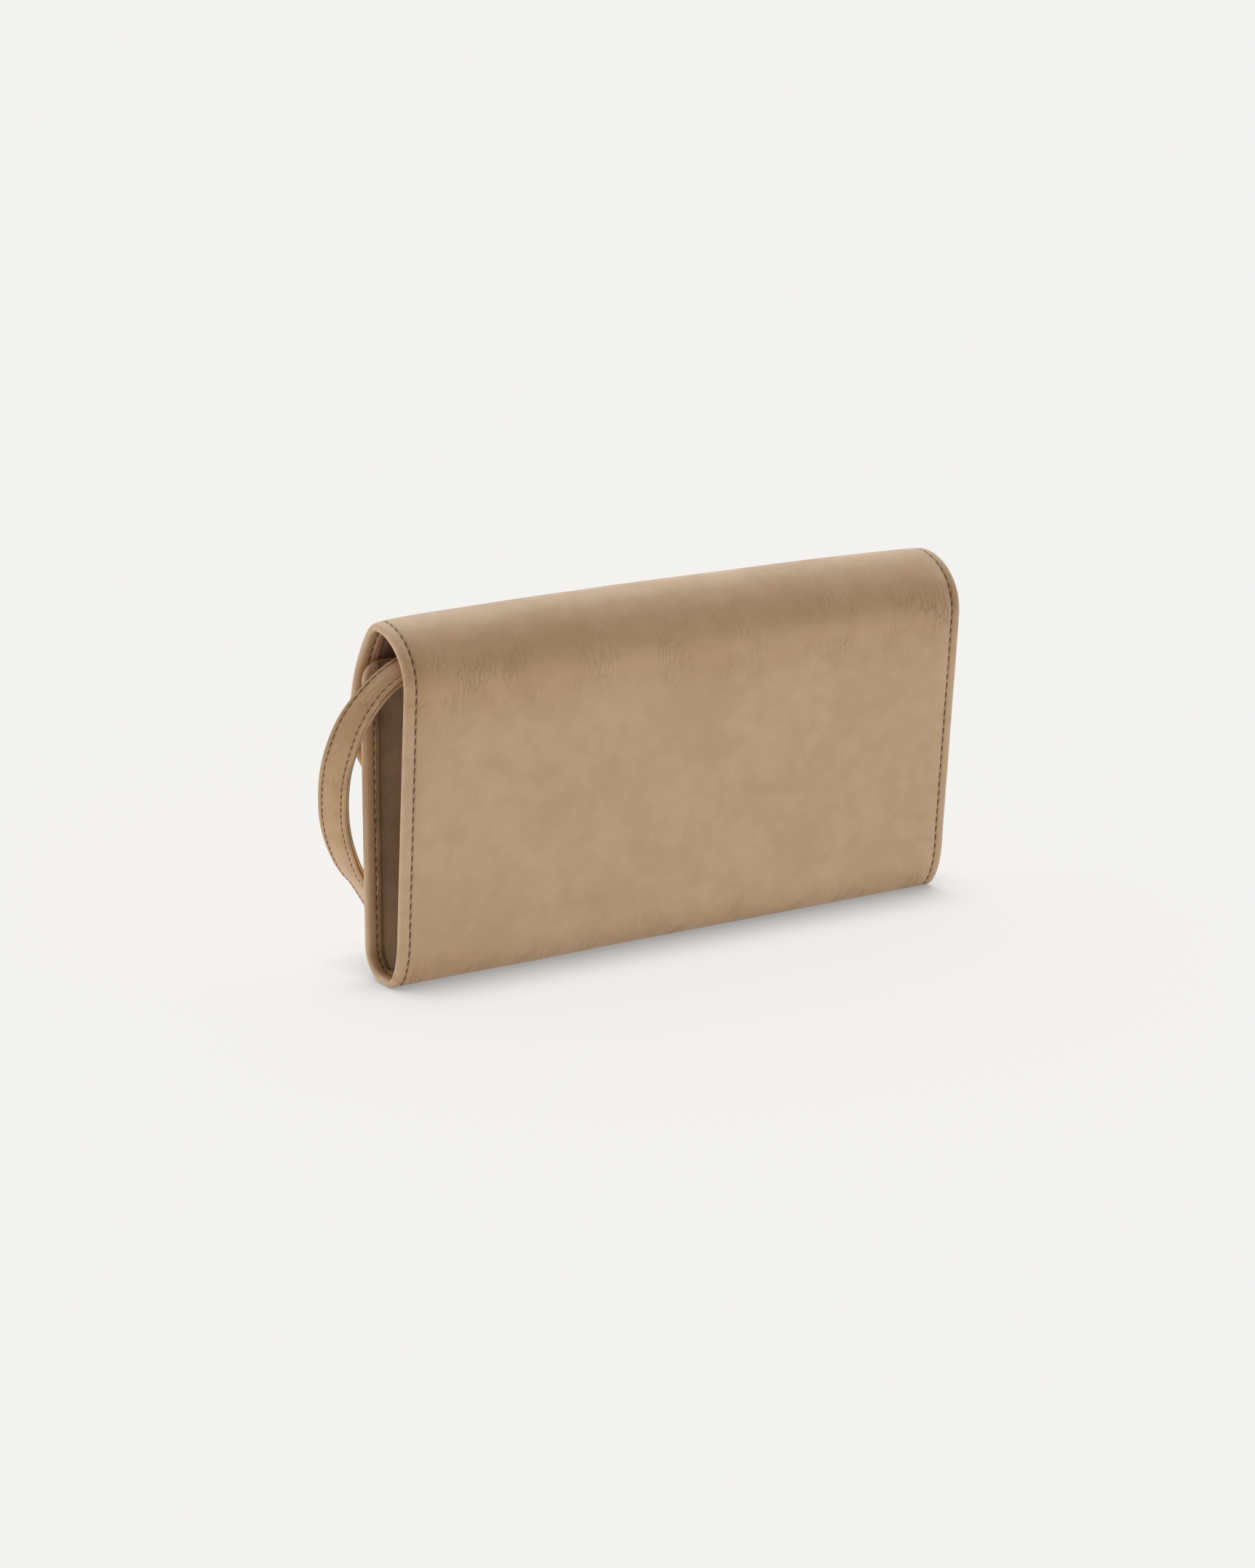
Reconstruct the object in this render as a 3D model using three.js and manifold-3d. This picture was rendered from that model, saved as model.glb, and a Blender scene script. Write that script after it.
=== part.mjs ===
// A long leather wallet with an envelope flap and a wrist strap, standing on its folded base.
// Millimetres, +Z up, back panel towards +Y, flap over the front towards -Y, strap at the +X end.
import * as THREE from "three";
import { mergeVertices } from "three/addons/utils/BufferGeometryUtils.js";
import Module from "manifold-3d";

const wasm = await Module();
wasm.setup();

// ---- driving dimensions ----
const HALF_LENGTH = 100; // the folded outer leather is 200 long
const GAP = 0.3; // clearance between touching pieces
const LEATHER = 1.4; // outer leather with its turned edge
const LINING = 0.8;
const LINING_INSET = 5; // the lining stops short of each end
const FRONT_TOP = 97; // top edge of the front panel
const FLAP_BOTTOM = 50; // lowest point of the flap
const FLAP_CORNER = 26; // rounded lower corners of the flap
const DIVIDER_HALF = 81;
const DIVIDER_TOP = 90;
const POCKET_FLOOR = 25;
const STRAP_WIDTH = 9.6;
const STRAP_LAYER = 1.3;
const STRAP_SLIT = 0.15; // half the gap left between the two doubled layers
const STRAP_LEAN = 0.42; // how far the hanging strap leans forward for each unit of height
const SNAP_HEIGHT = 62;

const group = new THREE.Group();
group.name = "long_wallet";

// ---- materials ----
function finish(colour, roughness, metalness = 0) {
  return new THREE.MeshStandardMaterial({ color: colour, roughness, metalness });
}
const CALF = () => finish(0xb39a7b, 0.45);
const SHADE_CALF = () => finish(0xa08768, 0.5);
const LINING_CALF = () => finish(0x94705e, 0.6);
const TAPE = () => finish(0x8a7358, 0.85);
const METAL = () => finish(0xc9b27a, 0.3, 1);

function add(name, geometry, material) {
  const mesh = new THREE.Mesh(geometry, material);
  mesh.name = name;
  group.add(mesh);
  return mesh;
}

// ---- helpers ----
const point = (y, z) => new THREE.Vector2(y, z);

// Turns a shape drawn in (y, z) into a solid between two x values.
function alongX(shape, x0, x1, curveSegments = 8) {
  const geometry = new THREE.ExtrudeGeometry(shape, {
    depth: x1 - x0, bevelEnabled: false, steps: 1, curveSegments,
  });
  const turn = new THREE.Matrix4().makeBasis(
    new THREE.Vector3(0, 1, 0), new THREE.Vector3(0, 0, 1), new THREE.Vector3(1, 0, 0));
  geometry.applyMatrix4(turn);
  geometry.translate(x0, 0, 0);
  return geometry;
}

// Turns a shape drawn in (x, z) into a solid between two y values.
function alongY(shape, y0, y1, curveSegments = 8) {
  const geometry = new THREE.ExtrudeGeometry(shape, {
    depth: y1 - y0, bevelEnabled: false, steps: 1, curveSegments,
  });
  const turn = new THREE.Matrix4().makeBasis(
    new THREE.Vector3(1, 0, 0), new THREE.Vector3(0, 0, 1), new THREE.Vector3(0, -1, 0));
  geometry.applyMatrix4(turn);
  geometry.translate(0, y1, 0);
  return geometry;
}

function box(x0, x1, y0, y1, z0, z1) {
  const geometry = new THREE.BoxGeometry(x1 - x0, y1 - y0, z1 - z0);
  geometry.translate((x0 + x1) / 2, (y0 + y1) / 2, (z0 + z1) / 2);
  return geometry;
}

// The direction of a smooth line at its end point, from its last chord and the chord next to it.
function endDirection(chord, next) {
  const turn = Math.atan2(chord.cross(next), chord.dot(next));
  const share = chord.length() / (chord.length() + next.length());
  return chord.clone().rotateAround(new THREE.Vector2(), -turn * share).normalize();
}
function directionAt(line, i) {
  const chord = (k) => line[k + 1].clone().sub(line[k]);
  const last = line.length - 2;
  if (last === 0) return chord(0).normalize();
  if (i === 0) return endDirection(chord(0), chord(1));
  if (i > last) return endDirection(chord(last), chord(last - 1));
  return chord(i - 1).normalize().add(chord(i).normalize()).normalize();
}
// The line moved to its left-hand side, which is the inside of the wallet.
function moved(line, distance) {
  return line.map((here, i) => {
    const along = directionAt(line, i);
    return point(here.x - along.y * distance, here.y + along.x * distance);
  });
}

// A layer of leather that follows an outside line, from one depth under it to another.
function layer(line, from, to) {
  return new THREE.Shape([...moved(line, from), ...moved(line, to).reverse()]);
}

function toSolid(geometry) {
  const bare = geometry.clone();
  bare.deleteAttribute("normal");
  bare.deleteAttribute("uv");
  const merged = mergeVertices(bare, 1e-4);
  return new wasm.Manifold(new wasm.Mesh({
    numProp: 3,
    vertProperties: new Float32Array(merged.attributes.position.array),
    triVerts: new Uint32Array(merged.index.array),
  }));
}

function fromSolid(solid) {
  const mesh = solid.getMesh();
  const geometry = new THREE.BufferGeometry();
  geometry.setAttribute("position", new THREE.BufferAttribute(new Float32Array(mesh.vertProperties), 3));
  geometry.setIndex(new THREE.BufferAttribute(new Uint32Array(mesh.triVerts), 1));
  geometry.computeVertexNormals();
  return geometry;
}

const kept = (geometry, cutter) => fromSolid(toSolid(geometry).intersect(toSolid(cutter)));
const cutFrom = (geometry, cutter) => fromSolid(toSolid(geometry).subtract(toSolid(cutter)));

// ---- the outside line of the leather, from the front's top edge round to the flap's edge ----
const FRONT_FACE = -12.3;
const CORNER = 10; // radius of the front lower corner
const BASE_FLAT_END = 1.5;
const BACK_FOOT = point(10.1, 20);
const BACK_SHOULDER = point(16, 92);
const APEX = point(-2, 110.5);
const BROW = point(-14, 97);
const FLAP_KNEE = point(-19.3, 76);

const cornerCentre = point(FRONT_FACE + CORNER, CORNER);
const cornerPoint = (angle) => point(
  cornerCentre.x + CORNER * Math.cos(angle), cornerCentre.y + CORNER * Math.sin(angle));
const CORNER_HINGE = 1.25 * Math.PI; // half-way round the front lower corner
const HALF_GAP_ANGLE = GAP / 2 / CORNER;

function arcPoints(from, to, steps) {
  return Array.from({ length: steps + 1 }, (_, i) => cornerPoint(from + (to - from) * i / steps));
}

function backFootCurve(steps) {
  const width = BACK_FOOT.x - BASE_FLAT_END;
  return Array.from({ length: steps }, (_, i) => {
    const angle = (i + 1) / steps * Math.PI / 2;
    return point(BASE_FLAT_END + width * Math.sin(angle), BACK_FOOT.y * (1 - Math.cos(angle)));
  });
}

const shoulder = new THREE.CubicBezierCurve(
  BACK_SHOULDER, point(16.6, 102.5), point(8, 110.5), APEX);
const brow = new THREE.CubicBezierCurve(APEX, point(-7.5, 110.5), point(-11.1, 102.6), BROW);
const flapBend = new THREE.CubicBezierCurve(BROW, point(-16.6, 92), point(-19.3, 83), FLAP_KNEE);
const SHOULDER_HINGE = 0.34; // where the first fold line lies along the shoulder curve
// Half of the gap at each fold line, as a share of the curve it is cut out of.
const FOLD_GAP = { rear: 0.006, top: 0.01, brow: 0.012 };

function stretch(curve, from, to, steps) {
  return Array.from({ length: steps + 1 }, (_, i) => curve.getPoint(from + (to - from) * i / steps));
}

const frontLine = [
  point(-10.9, FRONT_TOP), point(FRONT_FACE, 66),
  ...arcPoints(Math.PI, CORNER_HINGE - HALF_GAP_ANGLE, 4),
];
const baseLine = [
  ...arcPoints(CORNER_HINGE + HALF_GAP_ANGLE, 1.5 * Math.PI, 4),
  point(BASE_FLAT_END, 0), ...backFootCurve(7),
];
const backLine = [
  BACK_FOOT, BACK_SHOULDER, ...stretch(shoulder, 0, SHOULDER_HINGE - FOLD_GAP.rear, 4).slice(1),
];
const archLine1 = stretch(shoulder, SHOULDER_HINGE + FOLD_GAP.rear, 1 - FOLD_GAP.rear, 7);
const archLine2 = stretch(brow, FOLD_GAP.top, 1 - FOLD_GAP.brow, 7);
const flapLine = [...stretch(flapBend, FOLD_GAP.brow, 1, 6), point(FLAP_KNEE.x, FLAP_BOTTOM)];

const LINING_FROM = LEATHER + GAP;
const LINING_TO = LINING_FROM + LINING;
const LINED = HALF_LENGTH - LINING_INSET;

function leatherPiece(name, line, material = CALF()) {
  add(name, alongX(layer(line, 0, LEATHER), -HALF_LENGTH, HALF_LENGTH), material);
}
function liningPiece(name, line) {
  add(name, alongX(layer(line, LINING_FROM, LINING_TO), -LINED, LINED), LINING_CALF());
}

// ---- outer leather and its lining, cut where the model folds ----
leatherPiece("front_panel", frontLine);
leatherPiece("base_fold", [...baseLine.slice(0, -1), point(BACK_FOOT.x, BACK_FOOT.y - GAP)]);
leatherPiece("back_panel", backLine);
leatherPiece("top_fold_rear", archLine1);
leatherPiece("top_fold_front", archLine2);
liningPiece("front_lining", frontLine);
liningPiece("base_lining", [...baseLine.slice(0, -1), point(BACK_FOOT.x, BACK_FOOT.y - GAP)]);
liningPiece("back_lining", backLine);
liningPiece("top_fold_lining_rear", archLine1.slice(1));
liningPiece("top_fold_lining_front", archLine2.slice(0, -1));

// ---- flap with rounded lower corners ----
function flapOutline(inset) {
  const x = HALF_LENGTH - inset;
  const bottom = FLAP_BOTTOM + inset;
  const r = FLAP_CORNER - inset / 2;
  const shape = new THREE.Shape();
  shape.moveTo(-x, 120);
  shape.lineTo(-x, bottom + r);
  shape.absarc(-x + r, bottom + r, r, Math.PI, 1.5 * Math.PI, false);
  shape.absarc(x - r, bottom + r, r, 1.5 * Math.PI, 2 * Math.PI, false);
  shape.lineTo(x, 120);
  shape.closePath();
  return shape;
}
function flapPiece(name, from, to, inset, material) {
  const slab = alongX(layer(flapLine, from, to), -HALF_LENGTH - 5, HALF_LENGTH + 5);
  add(name, kept(slab, alongY(flapOutline(inset), -30, 5, 7)), material);
}
flapPiece("flap", 0, LEATHER, 0, CALF());
flapPiece("flap_lining", LINING_FROM, LINING_TO, LINING_INSET, LINING_CALF());

// ---- magnetic snap between the flap and the front panel ----
function disc(radius, y0, y1, sides = 24) {
  const geometry = new THREE.CylinderGeometry(radius, radius, y1 - y0, sides);
  geometry.translate(0, (y0 + y1) / 2, SNAP_HEIGHT);
  return geometry;
}
const SNAP_RADIUS = 7;
const SNAP_STUD = 3;
const flapInside = FLAP_KNEE.x + LINING_TO;
const SNAP_MEET = -14.6;
const snapSocket = cutFrom(
  disc(SNAP_RADIUS, SNAP_MEET + GAP, FRONT_FACE - GAP), disc(SNAP_STUD + GAP, SNAP_MEET - 1, -13.6));
add("snap_socket", snapSocket, METAL());
const snapStud = fromSolid(toSolid(disc(SNAP_RADIUS, flapInside + GAP, SNAP_MEET)).add(
  toSolid(disc(SNAP_STUD, SNAP_MEET - 0.5, -13.9))));
add("snap_stud", snapStud, METAL());

// ---- card pockets: stepped rows on the back lining, in two columns ----
const CARD_STEPS = [84, 74, 64];
const COLUMN = { inner: 2, outer: 90 };
const pocketDepth = (step) => LINING_TO + GAP + step * (LINING + GAP);
const backWall = (z) => {
  const t = (z - BACK_FOOT.y) / (BACK_SHOULDER.y - BACK_FOOT.y);
  return BACK_FOOT.x + t * (BACK_SHOULDER.x - BACK_FOOT.x);
};
function cardPocket(name, step, x0, x1) {
  const line = [
    point(backWall(POCKET_FLOOR), POCKET_FLOOR),
    point(backWall(CARD_STEPS[step]), CARD_STEPS[step]),
  ];
  const depth = pocketDepth(step);
  add(name, alongX(layer(line, depth, depth + LINING), x0, x1), CALF());
}
CARD_STEPS.forEach((_, step) => {
  cardPocket(`card_pocket_left_${step + 1}`, step, COLUMN.inner - COLUMN.outer, -COLUMN.inner / 2);
  cardPocket(`card_pocket_right_${step + 1}`, step, COLUMN.inner / 2, COLUMN.outer - COLUMN.inner);
});

// ---- centre divider: a zipped coin pocket ----
const DIVIDER = { front: -5.0, wall: 0.7, back: -2.0 };
const DIVIDER_FOOT = 12;
const ZIP_HALF = DIVIDER_HALF - 4;
const HEM_HEIGHT = 4;
const TAPE_THICK = 0.5;
const TAPE_INSET = 0.1; // how far each tape lies inside its wall's face
add("coin_pocket_front", box(-DIVIDER_HALF, DIVIDER_HALF, DIVIDER.front, DIVIDER.front + DIVIDER.wall,
  DIVIDER_FOOT, DIVIDER_TOP), CALF());
add("coin_pocket_back", box(-DIVIDER_HALF, DIVIDER_HALF, DIVIDER.back - DIVIDER.wall, DIVIDER.back,
  DIVIDER_FOOT, DIVIDER_TOP), CALF());
add("coin_pocket_hem", box(-DIVIDER_HALF, DIVIDER_HALF, DIVIDER.front + DIVIDER.wall + GAP,
  DIVIDER.back - DIVIDER.wall - GAP, DIVIDER_FOOT, DIVIDER_FOOT + HEM_HEIGHT), LINING_CALF());
const TEETH = { half: 0.7, z0: 93.2, z1: 94.6 };
const zipMiddle = (DIVIDER.front + DIVIDER.back) / 2;
add("zip_tape_front", box(-ZIP_HALF, ZIP_HALF, DIVIDER.front + TAPE_INSET,
  DIVIDER.front + TAPE_INSET + TAPE_THICK,
  DIVIDER_TOP + GAP, TEETH.z1), TAPE());
add("zip_tape_back", box(-ZIP_HALF, ZIP_HALF, DIVIDER.back - TAPE_INSET - TAPE_THICK,
  DIVIDER.back - TAPE_INSET,
  DIVIDER_TOP + GAP, TEETH.z1), TAPE());
add("zip_teeth", box(-ZIP_HALF, ZIP_HALF, zipMiddle - TEETH.half, zipMiddle + TEETH.half,
  TEETH.z0, TEETH.z1), METAL());
const SLIDER = { x: -72, half: 4, wide: 2, z0: 95, z1: 97.2 };
add("zip_slider", box(SLIDER.x - SLIDER.half, SLIDER.x + SLIDER.half,
  zipMiddle - SLIDER.wide, zipMiddle + SLIDER.wide,
  SLIDER.z0, SLIDER.z1), METAL());
// The pull lies along the zip, hinged on top of the slider.
const PULL = { x0: -72, x1: -63, half: 1.7, neck: 1.19, thick: 0.9 };
function pullGeometry() {
  const shape = new THREE.Shape();
  shape.moveTo(PULL.x0, zipMiddle - PULL.neck);
  shape.lineTo(PULL.x1 - PULL.half, zipMiddle - PULL.half);
  shape.absarc(PULL.x1 - PULL.half, zipMiddle, PULL.half, -Math.PI / 2, Math.PI / 2, false);
  shape.lineTo(PULL.x0, zipMiddle + PULL.neck);
  shape.closePath();
  const geometry = new THREE.ExtrudeGeometry(shape, {
    depth: PULL.thick, bevelEnabled: false, curveSegments: 6,
  });
  geometry.translate(0, 0, SLIDER.z1 + GAP);
  return geometry;
}
add("zip_pull", pullGeometry(), METAL());

// ---- gussets: each end has a strip folded in half, its fold pointing inwards ----
const GUSSET = { thick: 1.2, out: 98.5, fold: 84.5, foot: 11, top: 91 };
// A slab between two lines drawn in (x, y), carried from one height to another.
function flank(outer0, inner0, outer1, inner1, z0, z1) {
  const ring = (outer, inner, z) => {
    const along = new THREE.Vector2().subVectors(inner, outer).normalize();
    const side = new THREE.Vector2(-along.y, along.x).multiplyScalar(GUSSET.thick / 2);
    return [
      [outer.x + side.x, outer.y + side.y, z], [inner.x + side.x, inner.y + side.y, z],
      [inner.x - side.x, inner.y - side.y, z], [outer.x - side.x, outer.y - side.y, z],
    ];
  };
  const corners = [...ring(outer0, inner0, z0), ...ring(outer1, inner1, z1)].flat();
  const geometry = new THREE.BufferGeometry();
  geometry.setAttribute("position", new THREE.BufferAttribute(new Float32Array(corners), 3));
  geometry.setIndex([0, 1, 2, 0, 2, 3, 4, 6, 5, 4, 7, 6,
    0, 4, 5, 0, 5, 1, 1, 5, 6, 1, 6, 2, 2, 6, 7, 2, 7, 3, 3, 7, 4, 3, 4, 0]);
  return rightWayOut(geometry);
}
// Turns the faces of a closed body round if its signed volume is negative.
function rightWayOut(geometry) {
  const spot = geometry.attributes.position;
  const index = geometry.index.array;
  const corner = (i) => new THREE.Vector3().fromBufferAttribute(spot, index[i]);
  let volume = 0;
  for (let i = 0; i < index.length; i += 3) {
    volume += corner(i).dot(corner(i + 1).cross(corner(i + 2)));
  }
  if (volume < 0) {
    for (let i = 0; i < index.length; i += 3) {
      [index[i], index[i + 1]] = [index[i + 1], index[i]];
    }
  }
  geometry.computeVertexNormals();
  return geometry;
}
function gusset(side, name) {
  const out = side * GUSSET.out;
  const fold = side * GUSSET.fold;
  const backOut = (z) => backWall(z) - LEATHER - GAP - GUSSET.thick;
  add(`gusset_front_${name}`, flank(
    point(out, -9.0), point(fold, -2.7), point(out, -9.0), point(fold, -2.7),
    GUSSET.foot, GUSSET.top + 6), SHADE_CALF());
  add(`gusset_back_${name}`, flank(
    point(out, backOut(20) - 0.6), point(fold, -0.6), point(out, backOut(GUSSET.top) - 0.6), point(fold, 1.5),
    GUSSET.foot + 9, GUSSET.top), SHADE_CALF());
}
gusset(-1, "left");
gusset(1, "right");

// ---- wrist strap: one strip folded into a flat loop, its two ends sewn to a tab inside ----
// Drawn in a leaning plane as x and the distance down from the line where the plane meets STRAP_HIGH.
const STRAP_HIGH = { y: 7.1, z: 100.9 };
const STRAP_CUT = 100.6; // the strap flexes where it leaves the mouth
const EYE_RADIUS = 3.6; // the open end of the folded loop
const lean = Math.hypot(1, STRAP_LEAN);
const strapPath = new THREE.SplineCurve([
  point(84, 2.4), point(90, 2.6), point(96.4, 4.9), point(103, 11.2), point(108.2, 21),
  point(110.5, 33), point(110, 45), point(107, 58), point(101.4, 71), point(94.6, 82.5), point(87, 91),
]);
const strapLength = strapPath.getLength();

// How far along its path the strap first reaches an x value, as a share of its length.
function shareAt(x) {
  let share = 0;
  while (strapPath.getPointAt(share).x < x) share += 0.001;
  return share;
}
function strapStretch(from, to, steps) {
  return Array.from({ length: steps + 1 }, (_, i) => strapPath.getPointAt(from + (to - from) * i / steps));
}
// Stands a shape up in the leaning plane.
function inLeaningPlane(shape) {
  const geometry = new THREE.ExtrudeGeometry(shape, {
    depth: STRAP_WIDTH, bevelEnabled: false, steps: 1, curveSegments: 20,
  });
  geometry.translate(0, 0, -STRAP_WIDTH / 2);
  const down = new THREE.Vector3(0, -STRAP_LEAN / lean, -1 / lean);
  const across = new THREE.Vector3().crossVectors(new THREE.Vector3(1, 0, 0), down);
  geometry.applyMatrix4(new THREE.Matrix4().makeBasis(new THREE.Vector3(1, 0, 0), down, across));
  geometry.translate(0, STRAP_HIGH.y, STRAP_HIGH.z);
  return geometry;
}
function angleFrom(centre, spot) {
  return Math.atan2(spot.y - centre.y, spot.x - centre.x);
}
function loopOutline(spots) {
  const inside = moved(spots, STRAP_LAYER + STRAP_SLIT);
  const outside = moved(spots, -STRAP_LAYER - STRAP_SLIT);
  const end = spots.at(-1);
  const down = end.clone().sub(spots.at(-2)).normalize();
  const centre = end.clone().addScaledVector(down, EYE_RADIUS + 2);
  const start = angleFrom(centre, inside.at(-1));
  const sweep = (start - angleFrom(centre, outside.at(-1)) + 4 * Math.PI) % (2 * Math.PI);
  const radius = EYE_RADIUS + STRAP_LAYER;
  const turnSteps = 20;
  const round = (r, angle) => point(centre.x + r * Math.cos(angle), centre.y + r * Math.sin(angle));
  const turn = [];
  for (let i = 1; i < turnSteps; i += 1) turn.push(round(radius, start - sweep * i / turnSteps));
  const shape = new THREE.Shape([...inside, ...turn, ...outside.reverse()]);
  const eye = Array.from({ length: turnSteps }, (_, i) => round(EYE_RADIUS, 2 * Math.PI * i / turnSteps));
  shape.holes.push(new THREE.Path(eye));
  return shape;
}
const strapCut = shareAt(STRAP_CUT);
const cutMargin = GAP / 2 / strapLength;
const rootSpots = strapStretch(0, strapCut - cutMargin, 10);
const rootShape = new THREE.Shape([
  ...moved(rootSpots, STRAP_LAYER + STRAP_SLIT), ...moved(rootSpots, -STRAP_LAYER - STRAP_SLIT).reverse(),
]);
add("strap_root", inLeaningPlane(rootShape), CALF());
add("wrist_strap", inLeaningPlane(loopOutline(strapStretch(strapCut + cutMargin, 1, 28))), CALF());
add("strap_tab", box(84, 94, 11.6, 12.6, 86, 95.3), CALF());

export default group;
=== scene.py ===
import math

import bmesh
import bpy
from mathutils import Matrix, Vector, noise


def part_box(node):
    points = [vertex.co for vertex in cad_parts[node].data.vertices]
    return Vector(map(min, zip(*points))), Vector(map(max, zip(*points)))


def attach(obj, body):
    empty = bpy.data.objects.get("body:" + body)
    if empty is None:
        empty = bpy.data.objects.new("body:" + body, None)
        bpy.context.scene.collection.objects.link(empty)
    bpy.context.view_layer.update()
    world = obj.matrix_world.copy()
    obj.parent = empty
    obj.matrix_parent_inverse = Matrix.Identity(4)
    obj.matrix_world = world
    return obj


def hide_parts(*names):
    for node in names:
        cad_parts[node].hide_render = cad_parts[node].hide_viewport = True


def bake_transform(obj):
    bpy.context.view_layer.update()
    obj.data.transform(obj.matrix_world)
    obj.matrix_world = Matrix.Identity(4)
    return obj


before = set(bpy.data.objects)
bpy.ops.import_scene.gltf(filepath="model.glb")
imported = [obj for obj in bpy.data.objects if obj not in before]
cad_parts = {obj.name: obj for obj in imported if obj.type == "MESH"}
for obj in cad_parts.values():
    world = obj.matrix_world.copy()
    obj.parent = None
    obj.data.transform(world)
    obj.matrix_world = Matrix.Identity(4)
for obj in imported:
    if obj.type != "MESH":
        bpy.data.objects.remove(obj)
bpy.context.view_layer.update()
MM = 0.001


# ---------------------------------------------------------------- camera
CAMERA_PLACE = Vector((0.6197, 0.9362, 0.3504))  # behind the wallet and past its +X end, a little above it
CAMERA_AIM = Vector((0.0130, -0.0020, 0.0490))
LENS = 87.03  # focal length in mm, on a 36 mm sensor fitted to the frame's height
SENSOR = 36


def make_camera():
    data = bpy.data.cameras.new("studio_camera")
    data.sensor_fit = "VERTICAL"
    data.sensor_height = SENSOR
    data.sensor_width = SENSOR
    data.lens = LENS
    data.clip_start = 0.05
    data.clip_end = 40
    camera = bpy.data.objects.new("studio_camera", data)
    bpy.context.scene.collection.objects.link(camera)
    camera.location = CAMERA_PLACE
    camera.rotation_mode = "QUATERNION"
    camera.rotation_quaternion = (CAMERA_AIM - CAMERA_PLACE).to_track_quat("-Z", "Y")
    bpy.context.scene.camera = camera


make_camera()

# ---------------------------------------------------------------- sizes
FRONT_LOW, FRONT_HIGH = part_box("front_panel")
FLAP_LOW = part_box("flap")[0]
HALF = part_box("back_panel")[1].x  # half the length of the outer leather
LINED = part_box("back_lining")[1].x  # half the length of the lining
EDGE = 2.5 * MM  # thickness of a turned and sewn edge
ROLL = 1.15 * MM  # its rounding
HIDE = 1.3 * MM  # the outer leather alone
STITCH_IN = 3.4 * MM  # stitch line from the edge
HEM = 5.2 * MM  # turned-in margin seen from the inside
PITCH = 3.0 * MM  # one stitch and the gap after it
FRONT_CORNER = 6 * MM  # radius at the front panel's upper corners
FLAP_CORNER = 26 * MM  # radius at the flap's lower corners
SPARE = 30 * MM  # what a stretch is cut too long by where it goes on into the next one


# ---------------------------------------------------------------- how the leather is folded
# A piece is cut flat, with x along the wallet, s along the leather from the front panel's top edge round
# the base, up the back and over to the flap's edge, and h above (+) or under (-) its outer face.
FRONT_LEAN_FROM = 36 * MM  # how far under its top edge the front panel starts to lean in
BASE_RADIUS = 10 * MM  # of the front half of the base fold
BASE_FLAT_END = 1.5 * MM  # where the narrow flat that the wallet stands on ends
CURVE_STEPS = 40


def bezier(a, b, c, d):
    """Spots from a towards d, pulled by b and c; d itself is left to the next stretch."""
    spots = []
    for i in range(CURVE_STEPS):
        t = i / CURVE_STEPS
        u = 1 - t
        spots.append(a * u ** 3 + b * 3 * u * u * t + c * 3 * u * t * t + d * t ** 3)
    return spots


def yz(y, z):
    return Vector((y * MM, z * MM))


def fold_outline():
    """Spots along the outside of the leather, seen from the end, and where its landmarks are."""
    face = FRONT_LOW.y
    top = FRONT_HIGH.z
    foot, shoulder, apex, brow, knee = yz(10.1, 20), yz(16, 92), yz(-2, 110.5), yz(-14, 97), yz(-19.3, 76)
    marks = {}
    upright_top = Vector((face, top - FRONT_LEAN_FROM))
    upright_end = Vector((face, BASE_RADIUS))
    spots = bezier(Vector((face + 1.4 * MM, top)), Vector((face + 0.7 * MM, top - 12 * MM)),
                   Vector((face, top - 22 * MM)), upright_top)
    spots += [upright_top.lerp(upright_end, i / CURVE_STEPS) for i in range(CURVE_STEPS)]
    for i in range(31):
        angle = math.pi * (1 + 0.5 * i / 30)
        spots.append(Vector((face + BASE_RADIUS + BASE_RADIUS * math.cos(angle),
                             BASE_RADIUS + BASE_RADIUS * math.sin(angle))))
    marks["base"] = len(spots)
    spots.append(yz(-0.4, 0))
    for i in range(CURVE_STEPS + 1):
        angle = math.pi / 2 * i / CURVE_STEPS
        spots.append(Vector((BASE_FLAT_END + (foot.x - BASE_FLAT_END) * math.sin(angle),
                             foot.y * (1 - math.cos(angle)))))
    spots += [foot.lerp(shoulder, (i + 1) / 60) for i in range(59)]
    marks["shoulder"] = len(spots)
    spots += bezier(shoulder, yz(16.6, 102.5), yz(8, 110.5), apex)
    marks["apex"] = len(spots)
    spots += bezier(apex, yz(-7.5, 110.5), yz(-11.1, 102.6), brow)
    marks["brow"] = len(spots)
    spots += bezier(brow, yz(-16.6, 92), yz(-19.3, 83), knee)
    marks["knee"] = len(spots)
    spots += [knee, Vector((knee.x, FLAP_LOW.z)), Vector((knee.x, FLAP_LOW.z - SPARE))]
    return spots, marks


def drawn_in(x, s):
    """The sewn ends are pulled in a little over the top fold, which is fullest in the middle."""
    over = math.exp(-((s - S_APEX + 3 * MM) / (17 * MM)) ** 2)
    sewn = 0.9 * MM * math.exp(-max(HALF - abs(x), 0) / (5 * MM))
    full = 1.0 * MM * (1 - (x / HALF) ** 2)
    return over * (sewn - full)


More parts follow.
